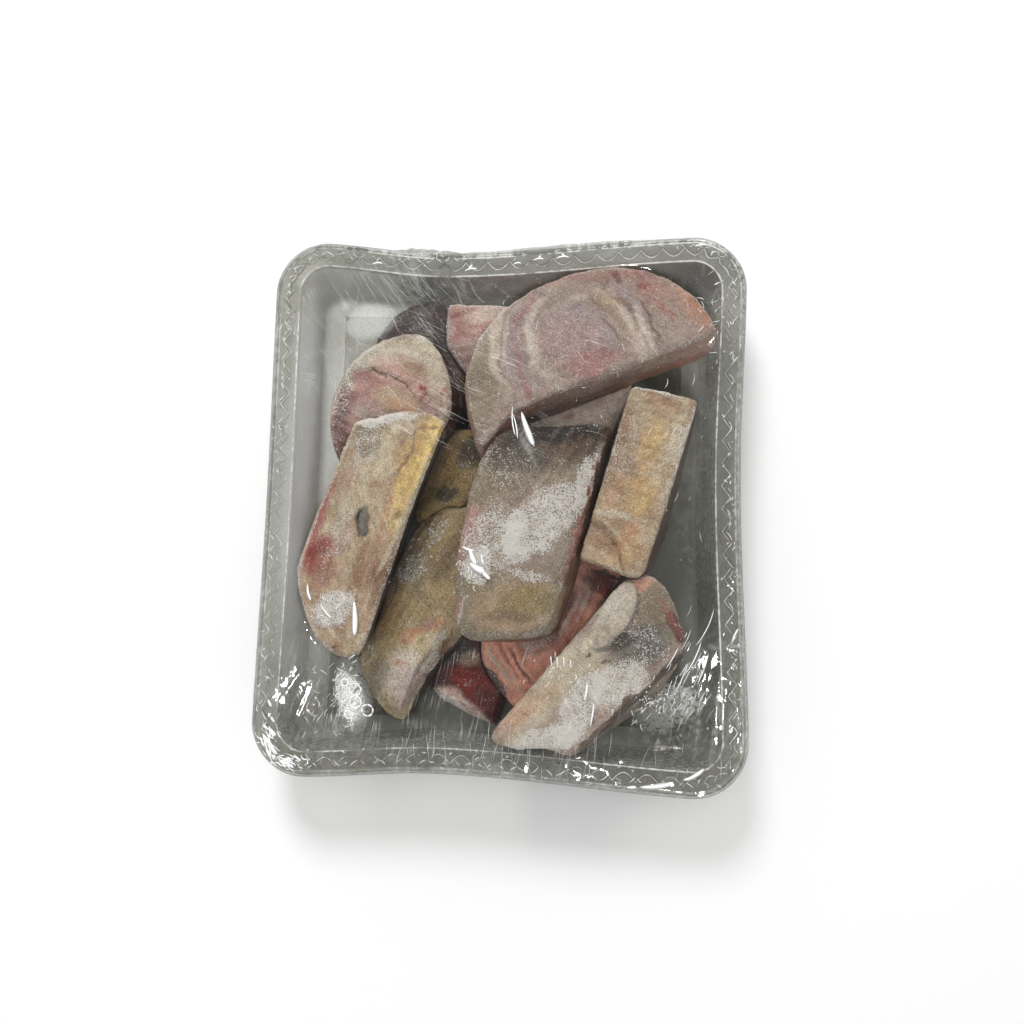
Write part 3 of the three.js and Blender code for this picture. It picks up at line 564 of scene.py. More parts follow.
        ("plum", -20, 66, 10, 5, 0, 0.8, 0.45))),
    "pale_pink_piece": Look(
        "frozen_cut_face", "chalk", "flesh", "chalk", "cream", "brown", 20, 0.2, 0.3, 0.5, 0, 0.15, (
        ("flesh", 45, 50, 12, 6, 20, 0.7, 0.3), ("umber", 31, 47.5, 2, 1, 30, 0.5, 0.7),
        ("stubble", 37, 46, 9, 4, 15, 0.6, 0.25), ("red", 27, 40, 3, 1.2, 10, 0.6, 0.5))),
    "olive_skin_lower": Look(
        "olive_skin", "khaki", "umber", "straw", "cream", "brown", 60, 0.12, 0.2, 0.8, 0.45, 0.3, (
        ("sage", -38, -28, 10, 7, 60, 0.8, 0.5), ("ochre", -46, -45, 12, 5, 55, 0.6, 0.6),
        ("umber", -22, -22, 14, 4, 66, 0.6, 0.45), ("orange", -33, -54, 10, 2.6, 18, 0.6, 0.9, 0.5),
        ("cream", -33.5, -60, 8, 4.6, 45, 0.4, 1, 0.5), ("yellow", -35, -58.5, 6, 2, 40, 0.8, 0.5),
        ("cream", -29, -61, 9, 2.4, 62, 0.5, 0.8, 0.3), ("straw", -32, -58, 6, 3, 60, 0.7, 0.6),
        ("brown", -24, -66, 12, 1.6, 62, 0.6, 0.8, -0.5), ("pink", -30.5, -50.5, 2.6, 2, 0, 0.6, 0.8, 0.5),
        ("chalk", -41.5, -71, 11, 7.5, 60, 0.6, 0.95), ("lavender", -37, -78, 12, 5, 60, 0.6, 0.6),
        ("orange", -42.8, -66.6, 2.4, 1.9, 0, 0.6, 0.8), ("sage", -53, -78, 14, 5, 60, 0.6, 0.7),
        ("rose", -31, -80, 7, 2.4, 60, 0.7, 0.7), ("frost", -38, -28, 8, 6, 50, 0.7, 0.55),
        ("frost", -28, -12, 7, 3.4, 50, 0.6, 0.45), ("frost", -42, -72, 9, 6, 60, 0.7, 0.3),
        ("frost", -28, -64, 12, 2, 60, 0.5, 0.6), ("beads", -27.6, -10, 6, 4, 50),
        ("beads", -38, -24, 9, 7, 50, 0.5, 0.5), ("stubble", -38, -25, 16, 24, 60, 0.5, 0.35)), (
        # The hide and black flank marks are painted shade along the right flank
        ("hide", -28, -72, 24, 8, 64, 0.5, 0.9), ("black", -22, -54, 8, 4, 60, 0.7, 0.8))),
    "olive_skin_upper": Look(
        "olive_skin", "olive", "brown", "mustard", "cream", "brown", 60, 0.06, 0.1, 0.7, 0.6, 0.12, (
        ("ochre", -27, 18, 10, 6, 60, 0.7, 0.7), ("black", -14, 24, 9, 6, 60, 0.6, 0.8),
        ("black", -25, 5, 5, 3, 20, 0.6, 0.8), ("stubble", -18, 14, 16, 18, 0, 0.5, 0.9),
        ("frost", -14, 16, 6, 5, 0, 0.7, 0.3))),
    "red_flesh_block": Look(
        "red_flesh", "raw", "maroon", "rose", "chalk", "red", -58, 0.12, 0.2, 0.9, 0, 0.22, (
        ("flesh", 30, -42, 12, 4, 62, 0.7, 0.6), ("salmon", 33, -46, 14, 2.2, 62, 0.6, 0.8, 0.4),
        ("chalk", 29, -46, 12, 0.9, 62, 0.7, 0.75, 0.2, 0.6),
        ("chalk", 36, -39, 9, 1.2, 64, 0.7, 0.7, 0.2, -0.6), ("pink", 24, -40, 8, 3, 62, 0.7, 0.7),
        # The black line at 45, -28.5 is the painted shadow of the right strip's lower end
        ("chalk", 12, -58, 7, 1, -50, 0.7, 0.7, 0.3), ("black", 45, -28.5, 8, 1.6, -20, 0.6, 0.9, -0.6),
        ("maroon", 42, -32, 8, 3.5, -25, 0.6, 0.9, -0.5), ("red", 44, -35, 5, 1.8, -35, 0.6, 0.8),
        ("plum", 37, -35, 8, 4, 60, 0.8, 0.4), ("brown", 22, -53, 5, 2.5, 60, 0.5, 0.85),
        ("maroon", 27, -44, 9, 1.2, 65, 0.7, 0.6), ("raw", 6, -62, 10, 3.4, -58, 0.5, 1, 0.6),
        ("orange", 10, -63, 8, 1.8, -58, 0.6, 0.45, 0.3), ("red", 2, -64, 11, 0.8, -58, 0.6, 0.6, -0.4),
        ("maroon", 8.5, -68, 9, 0.9, -58, 0.6, 0.8, -0.4), ("cream", 0, -69, 10, 1.1, -58, 0.6, 0.7, 0.3),
        # The black at -3, -76 is painted shade, pressed in as a hollow
        ("cream", 5, -72, 8, 0.7, -58, 0.6, 0.6), ("black", -3, -76, 12, 3, -55, 0.5, 0.95, -0.8),
        ("slate", -2, -75, 8, 1, -50, 0.7, 0.7), ("rose", 16, -58, 8, 4, 30, 0.7, 0.5),
        ("frost", 15, -57, 9, 2.5, 20, 0.6, 0.55), ("frost", 0, -72, 9, 1, -52, 0.6, 0.3))),
    "dark_red_piece": Look(
        "red_flesh", "maroon", "maroon", "umber", "rose", "black", 0, 0.05, 0.1, 0.8, 0, 0.15, (
        ("hide", -22, -60, 12, 8, 20, 0.6, 0.95), ("tan", -12, -65, 6, 3, 20, 0.8, 0.5),
        ("black", -24, -66, 6, 4, 30, 0.8, 0.6), ("blood", -12, -77, 12, 6, -35, 0.6),
        ("maroon", -5, -84, 8, 3, -40, 0.7, 0.6), ("pink", -19, -85, 10, 3, -36, 0.5, 0.9),
        ("chalk", -13, -90, 16, 5, -36, 0.5), ("rose", -14, -86, 12, 1.2, -36, 0.6, 0.5),
        ("frost", -18, -88, 14, 3.4, -36, 0.5, 0.9), ("frost", -6, -94, 8, 1.6, -36, 0.5, 0.6))),
}


def food_finish(name, look):
    """Frozen food under frost: the piece's own paint, with fine grain, stubble and grains of frost"""
    material, w = new_finish(name)
    place = w.millimetres()
    grain = w.group(GRAIN, {"Place": place, "Turn": math.radians(look.saw)}, None).outputs
    frost = w.group(FROST, {"Place": place, "Amount": w.attribute("frost")}, None).outputs
    stubble = w.group(STUBBLE, {"Place": place, "Amount": w.attribute("stubble")})
    colour = w.mix(1.0, w.attribute("paint", "Color"), grain["Tone"], "MULTIPLY")
    colour = w.mix(stubble, colour, paint("black"))
    colour = w.mix(w.product(frost["Mask"], 0.88), colour, paint("frost"))
    height = w.total(w.product(grain["Height"], 0.7), frost["Height"])
    bump = w.add("ShaderNodeBump", {"Strength": 0.6, "Distance": 0.00045, "Height": height})
    w.plain(colour, w.fade(frost["Mask"], 0.0, 1.0, 0.38, 0.75), Normal=bump, Specular_IOR_Level=0.4)
    return material


# The food

VOXEL = 0.0006  # metres from point to point of a piece's skin
CRISP = 0.12  # marks softer than this have ragged edges


def even_skin(name):
    """A copy of the solid under a fine, even web of facets"""
    source = bpy.data.meshes.new(name)
    form = bmesh.new()
    form.from_mesh(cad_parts[name].data)
    bmesh.ops.remove_doubles(form, verts=form.verts, dist=1e-6)
    form.to_mesh(source)
    form.free()
    piece = place_mesh(name + "_dressed", source)
    even = piece.modifiers.new("even_skin", "REMESH")
    even.mode, even.voxel_size, even.use_smooth_shade = "VOXEL", VOXEL, True
    soften = piece.modifiers.new("soften", "SMOOTH")
    soften.factor, soften.iterations = 0.5, 1
    return finished(piece)


def blend(base, share, colour):
    return base + share[:, None] * (np.array(colour)[:3] - base)


def food_piece(name, look, seed):
    """The solid's shape, roughened and painted, with its marks pressed in or raised"""
    piece = even_skin(name)
    mesh = piece.data
    points, normals = points_of(mesh) / MM, points_of(mesh, "vertex_normals", "vector")
    upright = normals[:, 2]
    upper = ease((upright - 0.12) / 0.16)
    edge = ease((upright - 0.1) / 0.2) * ease((0.96 - upright) / 0.1)
    ragged = points.copy()
    for axis in (0, 1):
        ragged[:, axis] += swells(points, seed + axis, (1.7, 7, 4), (0.8, 2.8, 16), (0.5, 1.3, 6))
    # paint
    blush = ease((swells(points, seed, (1, 8.5, 8), (0.5, 3, 9)) + 0.1) / 0.6)
    top = blend(np.array(paint(look.top)[:3]), 0.45 * blush, paint(look.blush))
    flank = blend(np.array(paint(look.side)[:3]), 0.4 * blush, paint("brown"))
    for mark in starmap(Mark, look.side_marks):
        flank = blend(flank, mark_mask(ragged, mark) * mark.amount, paint(mark.what))
    along_x, along_y = heading(look.saw)
    drawn = points @ np.array([[along_x / 9, -along_y, 0], [along_y / 9, along_x, 0], [0, 0, 0.3]])
    strands = look.fibre * swells(drawn, seed, (1, 1.2, 12), (0.7, 2.7, 13))
    # relief, frost and what stands on the skin
    swell = look.rough * swells(points, seed, (0.9, 11, 0), (0.4, 4.5, 1))
    amount = np.where(upper > 0.5, 0.45, 0.8) * swell + 0.12 * lumps(points, 1.8, seed + 2)
    amount += edge * swells(points, seed, (0.22, 1.4, 14), (0.22, 3.4, 15))
    frost = 0.4 * look.frost * (0.3 + 0.7 * upper) + 0.6 * look.rim * edge
    standing = {"stubble": np.zeros(len(points)), "beads": np.zeros(len(points)),
                "hair": np.full(len(points), look.hair)}
    for mark in starmap(Mark, look.marks):
        mask = mark_mask(points if mark.soft < CRISP else ragged, mark) * mark.amount
        shown = mask * upper
        amount += mark.rise * shown
        if mark.what in standing:
            standing[mark.what] = np.maximum(standing[mark.what], shown)
        elif mark.what == "frost":
            frost += shown
            amount += shown * 0.22 * (1 + lumps(points, 1.3, seed + 3))
        elif mark.what == "bare":
            frost *= 1 - mask
        else:
            top = blend(top, mask, paint(mark.what))
    standing["hair"] = standing["hair"] * (upright > -0.2)
    for share, name_of_paint in ((strands, look.light), (-strands, look.dark)):
        top = blend(top, np.clip(share, 0, 0.8), paint(name_of_paint))
    colour = flank + upper[:, None] * (top - flank)
    colour *= (1 + swells(points, seed, (0.12, 5, 10), (0.13, 2.2, 11), (0.1, 1.2, 18)))[:, None]
    point_values(mesh, frost=frost, grains=ease((frost - 0.25) / 0.5), **standing)
    colour = np.column_stack([colour, np.ones(len(points))]).astype(np.float32)
    mesh.attributes.new("paint", "FLOAT_COLOR", "POINT").data.foreach_set("color", colour.ravel())
    points += normals * amount[:, None]
    points[:, 2] = np.maximum(points[:, 2], BASE_TOP + 0.1)
    mesh.vertices.foreach_set("co", (points * MM).ravel().astype(np.float32))
    mesh.update()
    mesh.shade_smooth()
    mesh.materials.clear()
    mesh.materials.append(food_finish(name, look))
    hand_over(piece, look.slot, name)
    return piece


# Grains of ice and hair

# What a scattered piece is given, and the kind of each. Lengths are in metres, lean in radians.
SPREAD = {"Thickness": "String", "Per Square Metre": "Float", "Length": "Float", "Width": "Float",
          "Lean": "Float", "Seed": "Int"}

def scatter_tree(name, finish, hair):
    """Geometry nodes that stand hairs, or grains, at random places, as thickly as an attribute says"""
    tree = bpy.data.node_groups.new(name, "GeometryNodeTree")
    for key, kind in {"Geometry": "Geometry", **SPREAD}.items():
        tree.interface.new_socket(key, in_out="INPUT", socket_type="NodeSocket" + kind)
    tree.interface.new_socket("Geometry", in_out="OUTPUT", socket_type="NodeSocketGeometry")
    w = Wiring(tree)
    given = tree.nodes.new("NodeGroupInput").outputs
    seed, width, lean = given["Seed"], given["Width"], given["Lean"]
    weight = w.add("GeometryNodeInputNamedAttribute", {"Name": given["Thickness"]}, data_type="FLOAT")
    spread = w.add("GeometryNodeDistributePointsOnFaces", {
        "Mesh": given["Geometry"], "Density": w.product(weight, given["Per Square Metre"]), "Seed": seed},
        None).outputs
    back = w.product(lean, -1.0)
    low = w.add("ShaderNodeCombineXYZ", {0: back, 1: back, 2: 0.0})
    high = w.add("ShaderNodeCombineXYZ", {0: lean, 1: lean, 2: 6.28})
    turn = w.add("FunctionNodeRandomValue", {0: low, 1: high, "Seed": seed}, data_type="FLOAT_VECTOR")
    if hair:
        shape = w.add("GeometryNodeMeshCone", {"Vertices": 3, "Radius Top": 0.25, "Radius Bottom": 1.0,
                                               "Depth": 1.0})
        turn = w.add("FunctionNodeRotateEuler", {"Rotation": spread["Rotation"], "Rotate By": turn},
                     space="LOCAL")
    else:
        shape = w.add("GeometryNodeMeshIcoSphere", {"Radius": 1.0, "Subdivisions": 1})
    grow = w.add("FunctionNodeRandomValue", {2: 0.45, 3: 1.0, "Seed": seed}, 1, data_type="FLOAT")
    size = w.add("ShaderNodeCombineXYZ", {0: width, 1: width, 2: given["Length"]})
    size = w.add("ShaderNodeVectorMath", {0: size, "Scale": grow}, operation="SCALE")
    stood = w.add("GeometryNodeInstanceOnPoints", {
        "Points": spread["Points"], "Instance": shape, "Rotation": turn, "Scale": size})
    real = w.add("GeometryNodeRealizeInstances", {"Geometry": stood})
    dressed = w.add("GeometryNodeSetMaterial", {"Geometry": real, "Material": finish})
    tree.links.new(dressed, tree.nodes.new("NodeGroupOutput").inputs[0])
    return tree


def scatter(name, slot, foods, tree, finish, sizes):
    """One piece of many small shapes, standing on a joined copy of the food"""
    piece = place_mesh(name, joined(foods))
    spread = piece.modifiers.new("spread", "NODES")
    spread.node_group = tree
    for item in tree.interface.items_tree:
        if item.in_out == "INPUT" and item.name in sizes:
            spread[item.identifier] = sizes[item.name]
    piece = finished(piece)
    piece.data.materials.clear()
    piece.data.materials.append(finish)
    hand_over(piece, slot)


def joined(pieces):
    """One mesh of all the food, to stand grains and hair on"""
    form = bmesh.new()
    for piece in pieces:
        form.from_mesh(piece.data)
    mesh = bpy.data.meshes.new("ground")
    form.to_mesh(mesh)
    form.free()
    return mesh


def ice_finish():
    material, w = new_finish("ice_grain")
    place = w.millimetres()
    colour = w.mix(w.noise(place, 4.0), paint("frost"), (1.0, 0.98, 0.96, 1))
    w.plain(colour, w.fade(w.noise(place, 0.5), 0.3, 0.7, 0.2, 0.6))
    return material


def hair_finish():
    material, w = new_finish("cow_hair")
    place = w.millimetres()
    colour = w.mix(w.fade(w.noise(place, 2.5), 0.4, 0.62), (0.012, 0.01, 0.009, 1), paint("brown"))
    w.plain(colour, w.fade(w.noise(place, 1.0), 0.3, 0.7, 0.35, 0.6))
    return material


def stand_grains(foods):
    """Frost that stands up as grains, round beads of ice on the olive skin, and short hair"""
    ice, hair = ice_finish(), hair_finish()
    balls, hairs = scatter_tree("stand_balls", ice, False), scatter_tree("stand_hairs", hair, True)
    for name, slot, tree, finish, *sizes in (
            ("ice_grains", "frozen_cut_face", balls, ice, "grains", 850000.0, 0.00022, 0.00022, 3.1, 3),
            ("ice_beads", "olive_skin", balls, ice, "beads", 180000.0, 0.0007, 0.0007, 3.1, 8),
            ("cow_hairs", "dark_skin", hairs, hair, "hair", 1500000.0, 0.0016, 0.00008, 0.95, 5)):
        scatter(name, slot, foods, tree, finish, dict(zip(SPREAD, sizes)))


# The tray

# Painted glare on the base, at the back left, the front left and the front right; painted light down the
# left side; and darker along the back rim, with painted shade by the front right of the base
PAINTED_GLARE = (Mark("painted_glare_mask", -66, 86, 14, 10, 10, 0.8, 0.6), Mark("painted_glare_mask", -67, -82, 7, 15, 8, 0.35, 0.95),
          Mark("painted_glare_mask", 72, -84, 11, 8, 20, 0.7, 0.45))
PAINTED_LIGHT_LEFT = (Mark("left_painted_light", -96, 62, 34, 95, 0, 0.8, 0.56),)
DARKER_AND_PAINTED_SHADE = (Mark("darkened_and_painted_shade", 35, 116, 105, 20, 0, 0.6, 0.5, 0, -6), Mark("darkened_and_painted_shade", 76, -56, 13, 38, 0, 0.7, 0.72))
# Tints of a clear sheet: of what is seen through it, of the lamps' light and of the food's light
TRAY_TINTS = (0.89, 0.882, 0.85), (0.8, 0.795, 0.77), (0.74, 0.74, 0.725)
FILM_TINTS = (0.93, 0.932, 0.92), (0.72, 0.72, 0.71), (0.82, 0.822, 0.81)
INNER_TINTS = (0.985, 0.985, 0.98), (0.95, 0.95, 0.95), (0.96, 0.96, 0.955)
MOST_GLOSS = 0.5  # the most that a clear sheet mirrors


def tray_finish():
    """Thin clear plastic, faintly smoky and glossy, with painted highlights along its folds, painted glare
    on the base, painted light down the left side, a darker back rim and painted shade by the front right
    """
    material, w = new_finish("clear_tray")
    place = w.millimetres()
    height = w.add("ShaderNodeSeparateXYZ", {0: place}, 2)
    cloud, patchy = w.noise(place, 26.0), w.noise(place, 2.2, 1.0)
    scuffs = w.group(STREAKS, {"Place": place, "Turn": 1.45, "Width": 0.5, "Length": 26.0, "Keep": 0.35})
    broken = w.fade(w.noise(place, 1.1, 1.0), 0.25, 0.5)
    # Painted glare: white patches on the base, broken up, kept low down
    painted_glare_mask = w.product(w.product(patches(w, place, PAINTED_GLARE), broken), w.fade(height, 6.0, 2.0))
    # Painted light: the left side whitened to look lit, below the rim
    left_painted_light = w.product(patches(w, place, PAINTED_LIGHT_LEFT), w.fade(height, RIM_HEIGHT - 1, RIM_HEIGHT - 4))
    # fold: painted highlights along the step, the wall's top, the groove and the lip, and faint painted
    # light
    fold = w.product(w.attribute("fold"), w.fade(patchy, 0.35, 0.7, 0.45, 1.3))
    white = w.total(fold, left_painted_light, w.product(painted_glare_mask, 0.9), clamp=True)
    # Darker along the back rim, and painted shade by the front right of the base, where the pieces shade it
    darkened_and_painted_shade = w.total(patches(w, place, DARKER_AND_PAINTED_SHADE[:1]), patches(w, place, DARKER_AND_PAINTED_SHADE[1:]))
    body = w.total(w.fade(cloud, 0.35, 0.7, 0.03, 0.07), w.product(scuffs, 0.08), darkened_and_painted_shade)
    gloss = w.math("MINIMUM", w.add("ShaderNodeFresnel", {"IOR": 1.5}), MOST_GLOSS)
    share = w.total(body, white, gloss, clamp=True)
    pale = w.math("SUBTRACT", white, w.product(darkened_and_painted_shade, 0.2))
    colour = w.mix(w.fade(pale, 0.0, 0.12), (0.25, 0.255, 0.23, 1), (0.93, 0.94, 0.92, 1))
    shader = w.add("ShaderNodeBsdfPrincipled", {
        "Base Color": colour, "Roughness": w.fade(cloud, 0.3, 0.7, 0.06, 0.16), "Specular IOR Level": 0.9})
    see_through(w, share, shader, TRAY_TINTS)
    return material


def arc(inset, z, radius, start, end, steps, white):
    """Points of a rounded fold, as tray_section gives them"""
    angles = np.radians(np.linspace(start, end, steps))
    return [(inset + radius * math.cos(a), z + radius * math.sin(a), 0, white) for a in angles]


def tray_section():
    """The sheet's upper face, from the base out over the flange and down the lip: inset, height, how much
    of the wave's sway it takes, and whiteness: painted highlight on the folds, faint painted light elsewhere"""
    low, foot, shoulder = RIM_HEIGHT - STEP_HEIGHT, FLANGE_WIDTH + WALL_DRAFT, FLANGE_WIDTH - 1.0
    middle, top = STEP_INSET + STEP_RUN / 2, RIM_HEIGHT
    # Faint painted light over the base and the wall, growing toward the foot
    base = [(inset, BASE_TOP, 0, white) for inset, white in ((60, 0.03), (36, 0.04), (28, 0.06), (22, 0.07))]
    wall = [(foot - WALL_DRAFT * t, BASE_TOP + FOOT_RADIUS + (low - BASE_TOP - 5) * t, 0, 0.07)
            for t in (0.12, 0.35, 0.6, 0.85)]
    # Painted highlights: whiteness 1 on the wall's top and the step's crest, 0.5 in the groove, 0.3 on the
    # lip
    bend = [point for part in ((10, 50, 3, 0.08), (62, 62, 1, 1))
            for point in arc(shoulder, low - SHOULDER_RADIUS, SHOULDER_RADIUS, *part)]
    step = [(STEP_INSET + STEP_RUN + 0.5, low, 1, 0.03), (STEP_INSET + STEP_RUN, low, 1, 0.03),
            (middle + 0.25, low + 0.1, 1, 0.03), (middle, low + 0.15, 1, 1),
            (middle - 0.25, low + 0.25, 1, 0.03), (STEP_INSET - STEP_RUN / 2, top - 0.1, 1, 0.03),
            (STEP_INSET - STEP_RUN, top, 1, 0.05), (STEP_INSET - 1.1, top, 1, 0.05)]
    groove = [(2.6, top, 0, 0.05), (2.1, top - 0.35, 0, 0.5), (1.6, top, 0, 0.1)]
    return [*base, *arc(foot + 3.4, BASE_TOP + FOOT_RADIUS, FOOT_RADIUS, 270, 186, 6, 0.08), *wall,
            *bend, (shoulder, low, 0, 0.05), (FLANGE_WIDTH - 1.5, low, 0, 0.04), *step, *groove,
            *arc(LIP_RADIUS, top - LIP_RADIUS, LIP_RADIUS, 90, 180, 5, 0.3),
            (0, top - 2.6, 0, 0.1), (0, top - LIP_DROP, 0, 0.3)]


def tray():
    """The clear tray: base, wall, flange with its wavy step, and rolled lip"""
    share = np.arange(AROUND) / AROUND
    across = np.abs(lip_points(share)[1][:, 1])
    step = share * WAVES % 1
    zigzag, scallop = 4 * np.abs(step - 0.5) - 1, 2 * np.abs(np.sin(np.pi * step)) - 1
    sway = WAVE_SWING * (across * scallop + (1 - across) * zigzag)
    over, under = tray_section(), []
    for (inset, z, part, _), (next_inset, next_z, *_) in zip(over, over[1:]):
        run, rise = next_inset - inset, next_z - z
        size = math.hypot(run, rise)
        under.append((inset - SHEET * rise / size, z + SHEET * run / size, part, 0))
    under.append((SHEET, RIM_HEIGHT - LIP_DROP, 0, 0))
    profile = [*over, *reversed(under)]
    rings = [outline(share, inset + part * sway, z) for inset, z, part, _ in profile]
    points, faces = skin(rings, [0, 0, BASE_TOP], [0, 0, BASE_UNDER])
    piece = build("tray_dressed", points, faces, tray_finish())
    # The painted highlights come and go along the rim
    patchy = np.clip(0.7 + 0.9 * lumps(rings[-1], 13, 4) + 0.3 * lumps(rings[-1], 3, 5), 0.12, 1.4)
    folds = [white * patchy if white > 0.2 else np.full(AROUND, white) for *_, white in profile]
    point_values(piece.data, fold=np.concatenate([[0], *folds, [0]]))
    hand_over(piece, "clear_tray", "tray")


# The film

CELL = 1.5  # spacing of the grid that the taut film is worked out on
PULLS, EAGER = 1400, 1.85  # how often it is drawn level, and how far each time
HALF_CELLS = 92  # film facets from the middle to the rim
RIM_INSET = 1.0
# Pulled creases: start, end, spread at each, how many, height, width
CREASES = (
    ((84, -108), (90, -62), 16, 12, 34, 0.4, 0.55), ((76, -57), (101, -46), 3, 12, 9, 0.3, 0.6),
    ((-42, -90), (-46, -113), 26, 34, 26, 0.25, 0.5), ((20, -100), (24, -113), 24, 26, 16, 0.25, 0.5),
    ((-66, 58), (-94, 104), 8, 20, 24, 0.3, 0.6), ((-36, 74), (-58, 112), 12, 20, 16, 0.3, 0.6),
    ((-28, 62), (-4, 56), 4, 5, 7, 0.25, 0.45), ((-80, -40), (-101, -30), 14, 30, 14, 0.25, 0.6),
    ((-66, -62), (-84, -106), 10, 22, 22, 0.3, 0.6), ((3, 36), (16, 8), 1.5, 3, 3, 0.9, 1.5),
    ((80, 45), (100, 40), 20, 50, 16, 0.22, 0.6), ((84, 80), (98, 96), 10, 20, 14, 0.3, 0.6),
    ((20, 98), (16, 112), 30, 50, 18, 0.25, 0.6), ((-12, -30), (-14, -60), 3, 3, 4, 0.3, 0.8),
    ((28, -66), (42, -92), 9, 9, 10, 0.35, 0.6), ((-78, -42), (-60, -62), 4, 4, 5, 0.4, 0.9),
)
# Painted glare on the film over the base, at the front left and the back left, and painted light down the
# left side. The first is broken up
FILM_PAINTED_LIGHT = (Mark("painted_light_on_film", -59, -80.5, 5.5, 9.5, 12, 0.25, 0.5), Mark("painted_light_on_film", -58, 76, 10, 7.5, 8, 0.45, 0.2),
         Mark("painted_light_on_film", -86, 15, 7, 75, 0, 0.6, 0.11))
# Fine pulled lines, their white partly painted highlight: direction, width, how many are kept, and where
PULLED = ((-55, 0.32, 0.55, Mark("lines", -52, 74, 50, 44, 0, 0.6)),
          (-22, 0.3, 0.5, Mark("lines", -16, 48, 70, 40, 0, 0.7, 0.9)),
          (78, 0.36, 0.55, Mark("lines", 10, -86, 100, 36, 0, 0.7)))
BUNCH = (-36, 14)  # middle and half width of the gathered film at the back edge


def film_finish():
    """Clear stretch film: glossy, with fine pulled lines and creases whitened partly as painted highlight,
    and patches of painted glare and painted light
    """
    material, w = new_finish("clear_film")
    place = w.millimetres()
    bent = w.move("ADD", place, w.move("MULTIPLY", w.noise(place, 30.0, 1.0), (9, 9, 0)))
    gate = w.noise(bent, 9.0, 1.0)
    lines = []
    for turn, width, keep, spot in PULLED:
        run = w.group(STREAKS, {"Place": bent, "Turn": math.radians(turn), "Width": width,
                                "Length": 40.0, "Keep": keep, "Gate": gate})
        lines.append(w.product(run, patches(w, place, [spot])))
    broken = w.fade(w.noise(place, 1.0), 0.36, 0.56)
    # Painted glare and painted light on the film, the first broken up
    painted_film_light = [w.product(patches(w, place, FILM_PAINTED_LIGHT[:1]), broken), patches(w, place, FILM_PAINTED_LIGHT[1:])]
    # The creases' white, partly painted highlight, with the painted glare and light
    whitish_share = strongest(w, [w.attribute("pulled"), *painted_film_light])
    # The pulled lines' white, partly painted highlight, over the creases' white and the painted glare and
    # light
    white = w.total(w.product(strongest(w, lines), 0.25), whitish_share, clamp=True)
    gloss = w.math("MINIMUM", w.add("ShaderNodeFresnel", {"IOR": 1.45}), MOST_GLOSS)
    share = w.total(gloss, w.fade(gate, 0.35, 0.75, 0.004, 0.02), white, clamp=True)
    ripple = w.noise(w.move("MULTIPLY", place, (1, 1, 0.3)), 3.2, 1.0)
    bump = w.add("ShaderNodeBump", {"Strength": 0.3, "Distance": 0.0004, "Height": ripple})
    shader = w.add("ShaderNodeBsdfPrincipled", {
        "Base Color": (0.95, 0.96, 0.95, 1), "Metallic": w.fade(white, 0.0, 0.1, 1.0, 0.0),
        "Roughness": w.fade(white, 0.0, 0.3, 0.07, 0.3), "Normal": bump})
    see_through(w, share, shader, FILM_TINTS)
    return material


def film_inside_finish():
    """The film's inner face, which the food and the condensation keep dull"""
    material, w = new_finish("film_inside")
    whitish_share = w.fade(w.noise(w.millimetres(), 12.0, 1.0), 0.4, 0.7, 0.0, 0.012)
    shader = w.add("ShaderNodeBsdfPrincipled", {"Base Color": (0.8, 0.81, 0.8, 1), "Roughness": 0.5})
    see_through(w, whitish_share, shader, INNER_TINTS)
    return material


def spread_high(values):
    """Each cell takes the highest of itself and its neighbours"""
    for axis in (0, 1):
        values = np.maximum(values, np.maximum(np.roll(values, 1, axis), np.roll(values, -1, axis)))
    return values


def taut_level(foods):
    """Heights on a grid: of the film pulled taut from the rim over the food, and of what holds it up"""
    columns, rows = math.ceil(HALF_WIDTH / CELL) + 2, math.ceil(HALF_LENGTH / CELL) + 4
    cover = np.zeros((2 * rows + 1, 2 * columns + 1))
    for food in foods:
        points = points_of(food.data) / MM
        i = np.round(points[:, 1] / CELL).astype(int) + rows
        j = np.round(points[:, 0] / CELL).astype(int) + columns
        np.maximum.at(cover, (i, j), points[:, 2])
    cover = spread_high(cover) + GAP
    grid = np.stack(np.meshgrid((np.arange(2 * columns + 1) - columns) * CELL,
                                (np.arange(2 * rows + 1) - rows) * CELL), axis=-1)

    def distance(inset):
        edge = outline(np.arange(0, 1, 0.002), inset, 0)[:, :2]
        return np.min([np.hypot(*(grid - point).transpose(2, 0, 1)) for point in edge], axis=0)
    inside = ((distance(FLANGE_WIDTH) < distance(0))
              & (np.abs(grid[..., 0]) < HALF_WIDTH) & (np.abs(grid[..., 1]) < HALF_LENGTH + 4))
    cover = np.where(inside, cover, np.maximum(cover, REST))
    level = np.maximum(cover, REST)
    checks = np.indices(level.shape).sum(axis=0) % 2
    free = np.zeros(level.shape, bool)
    free[1:-1, 1:-1] = True
    for step in range(PULLS):
        mean = sum(np.roll(level, way, axis) for axis in (0, 1) for way in (1, -1)) / 4
        pulled = np.maximum(cover, level + EAGER * (mean - level))
        level = np.where((checks == step % 2) & free, pulled, level)
    return level, cover


def sample(grid, points):
    """The grid's heights at the points, between its cells too"""
    rows, columns = (count // 2 for count in grid.shape)
    u = np.clip(points[:, 0] / CELL + columns, 0, 2 * columns - 1e-6)
    v = np.clip(points[:, 1] / CELL + rows, 0, 2 * rows - 1e-6)
    j, i = u.astype(int), v.astype(int)
    u, v = u - j, v - i
    return ((grid[i, j] * (1 - u) + grid[i, j + 1] * u) * (1 - v)
            + (grid[i + 1, j] * (1 - u) + grid[i + 1, j + 1] * u) * v)


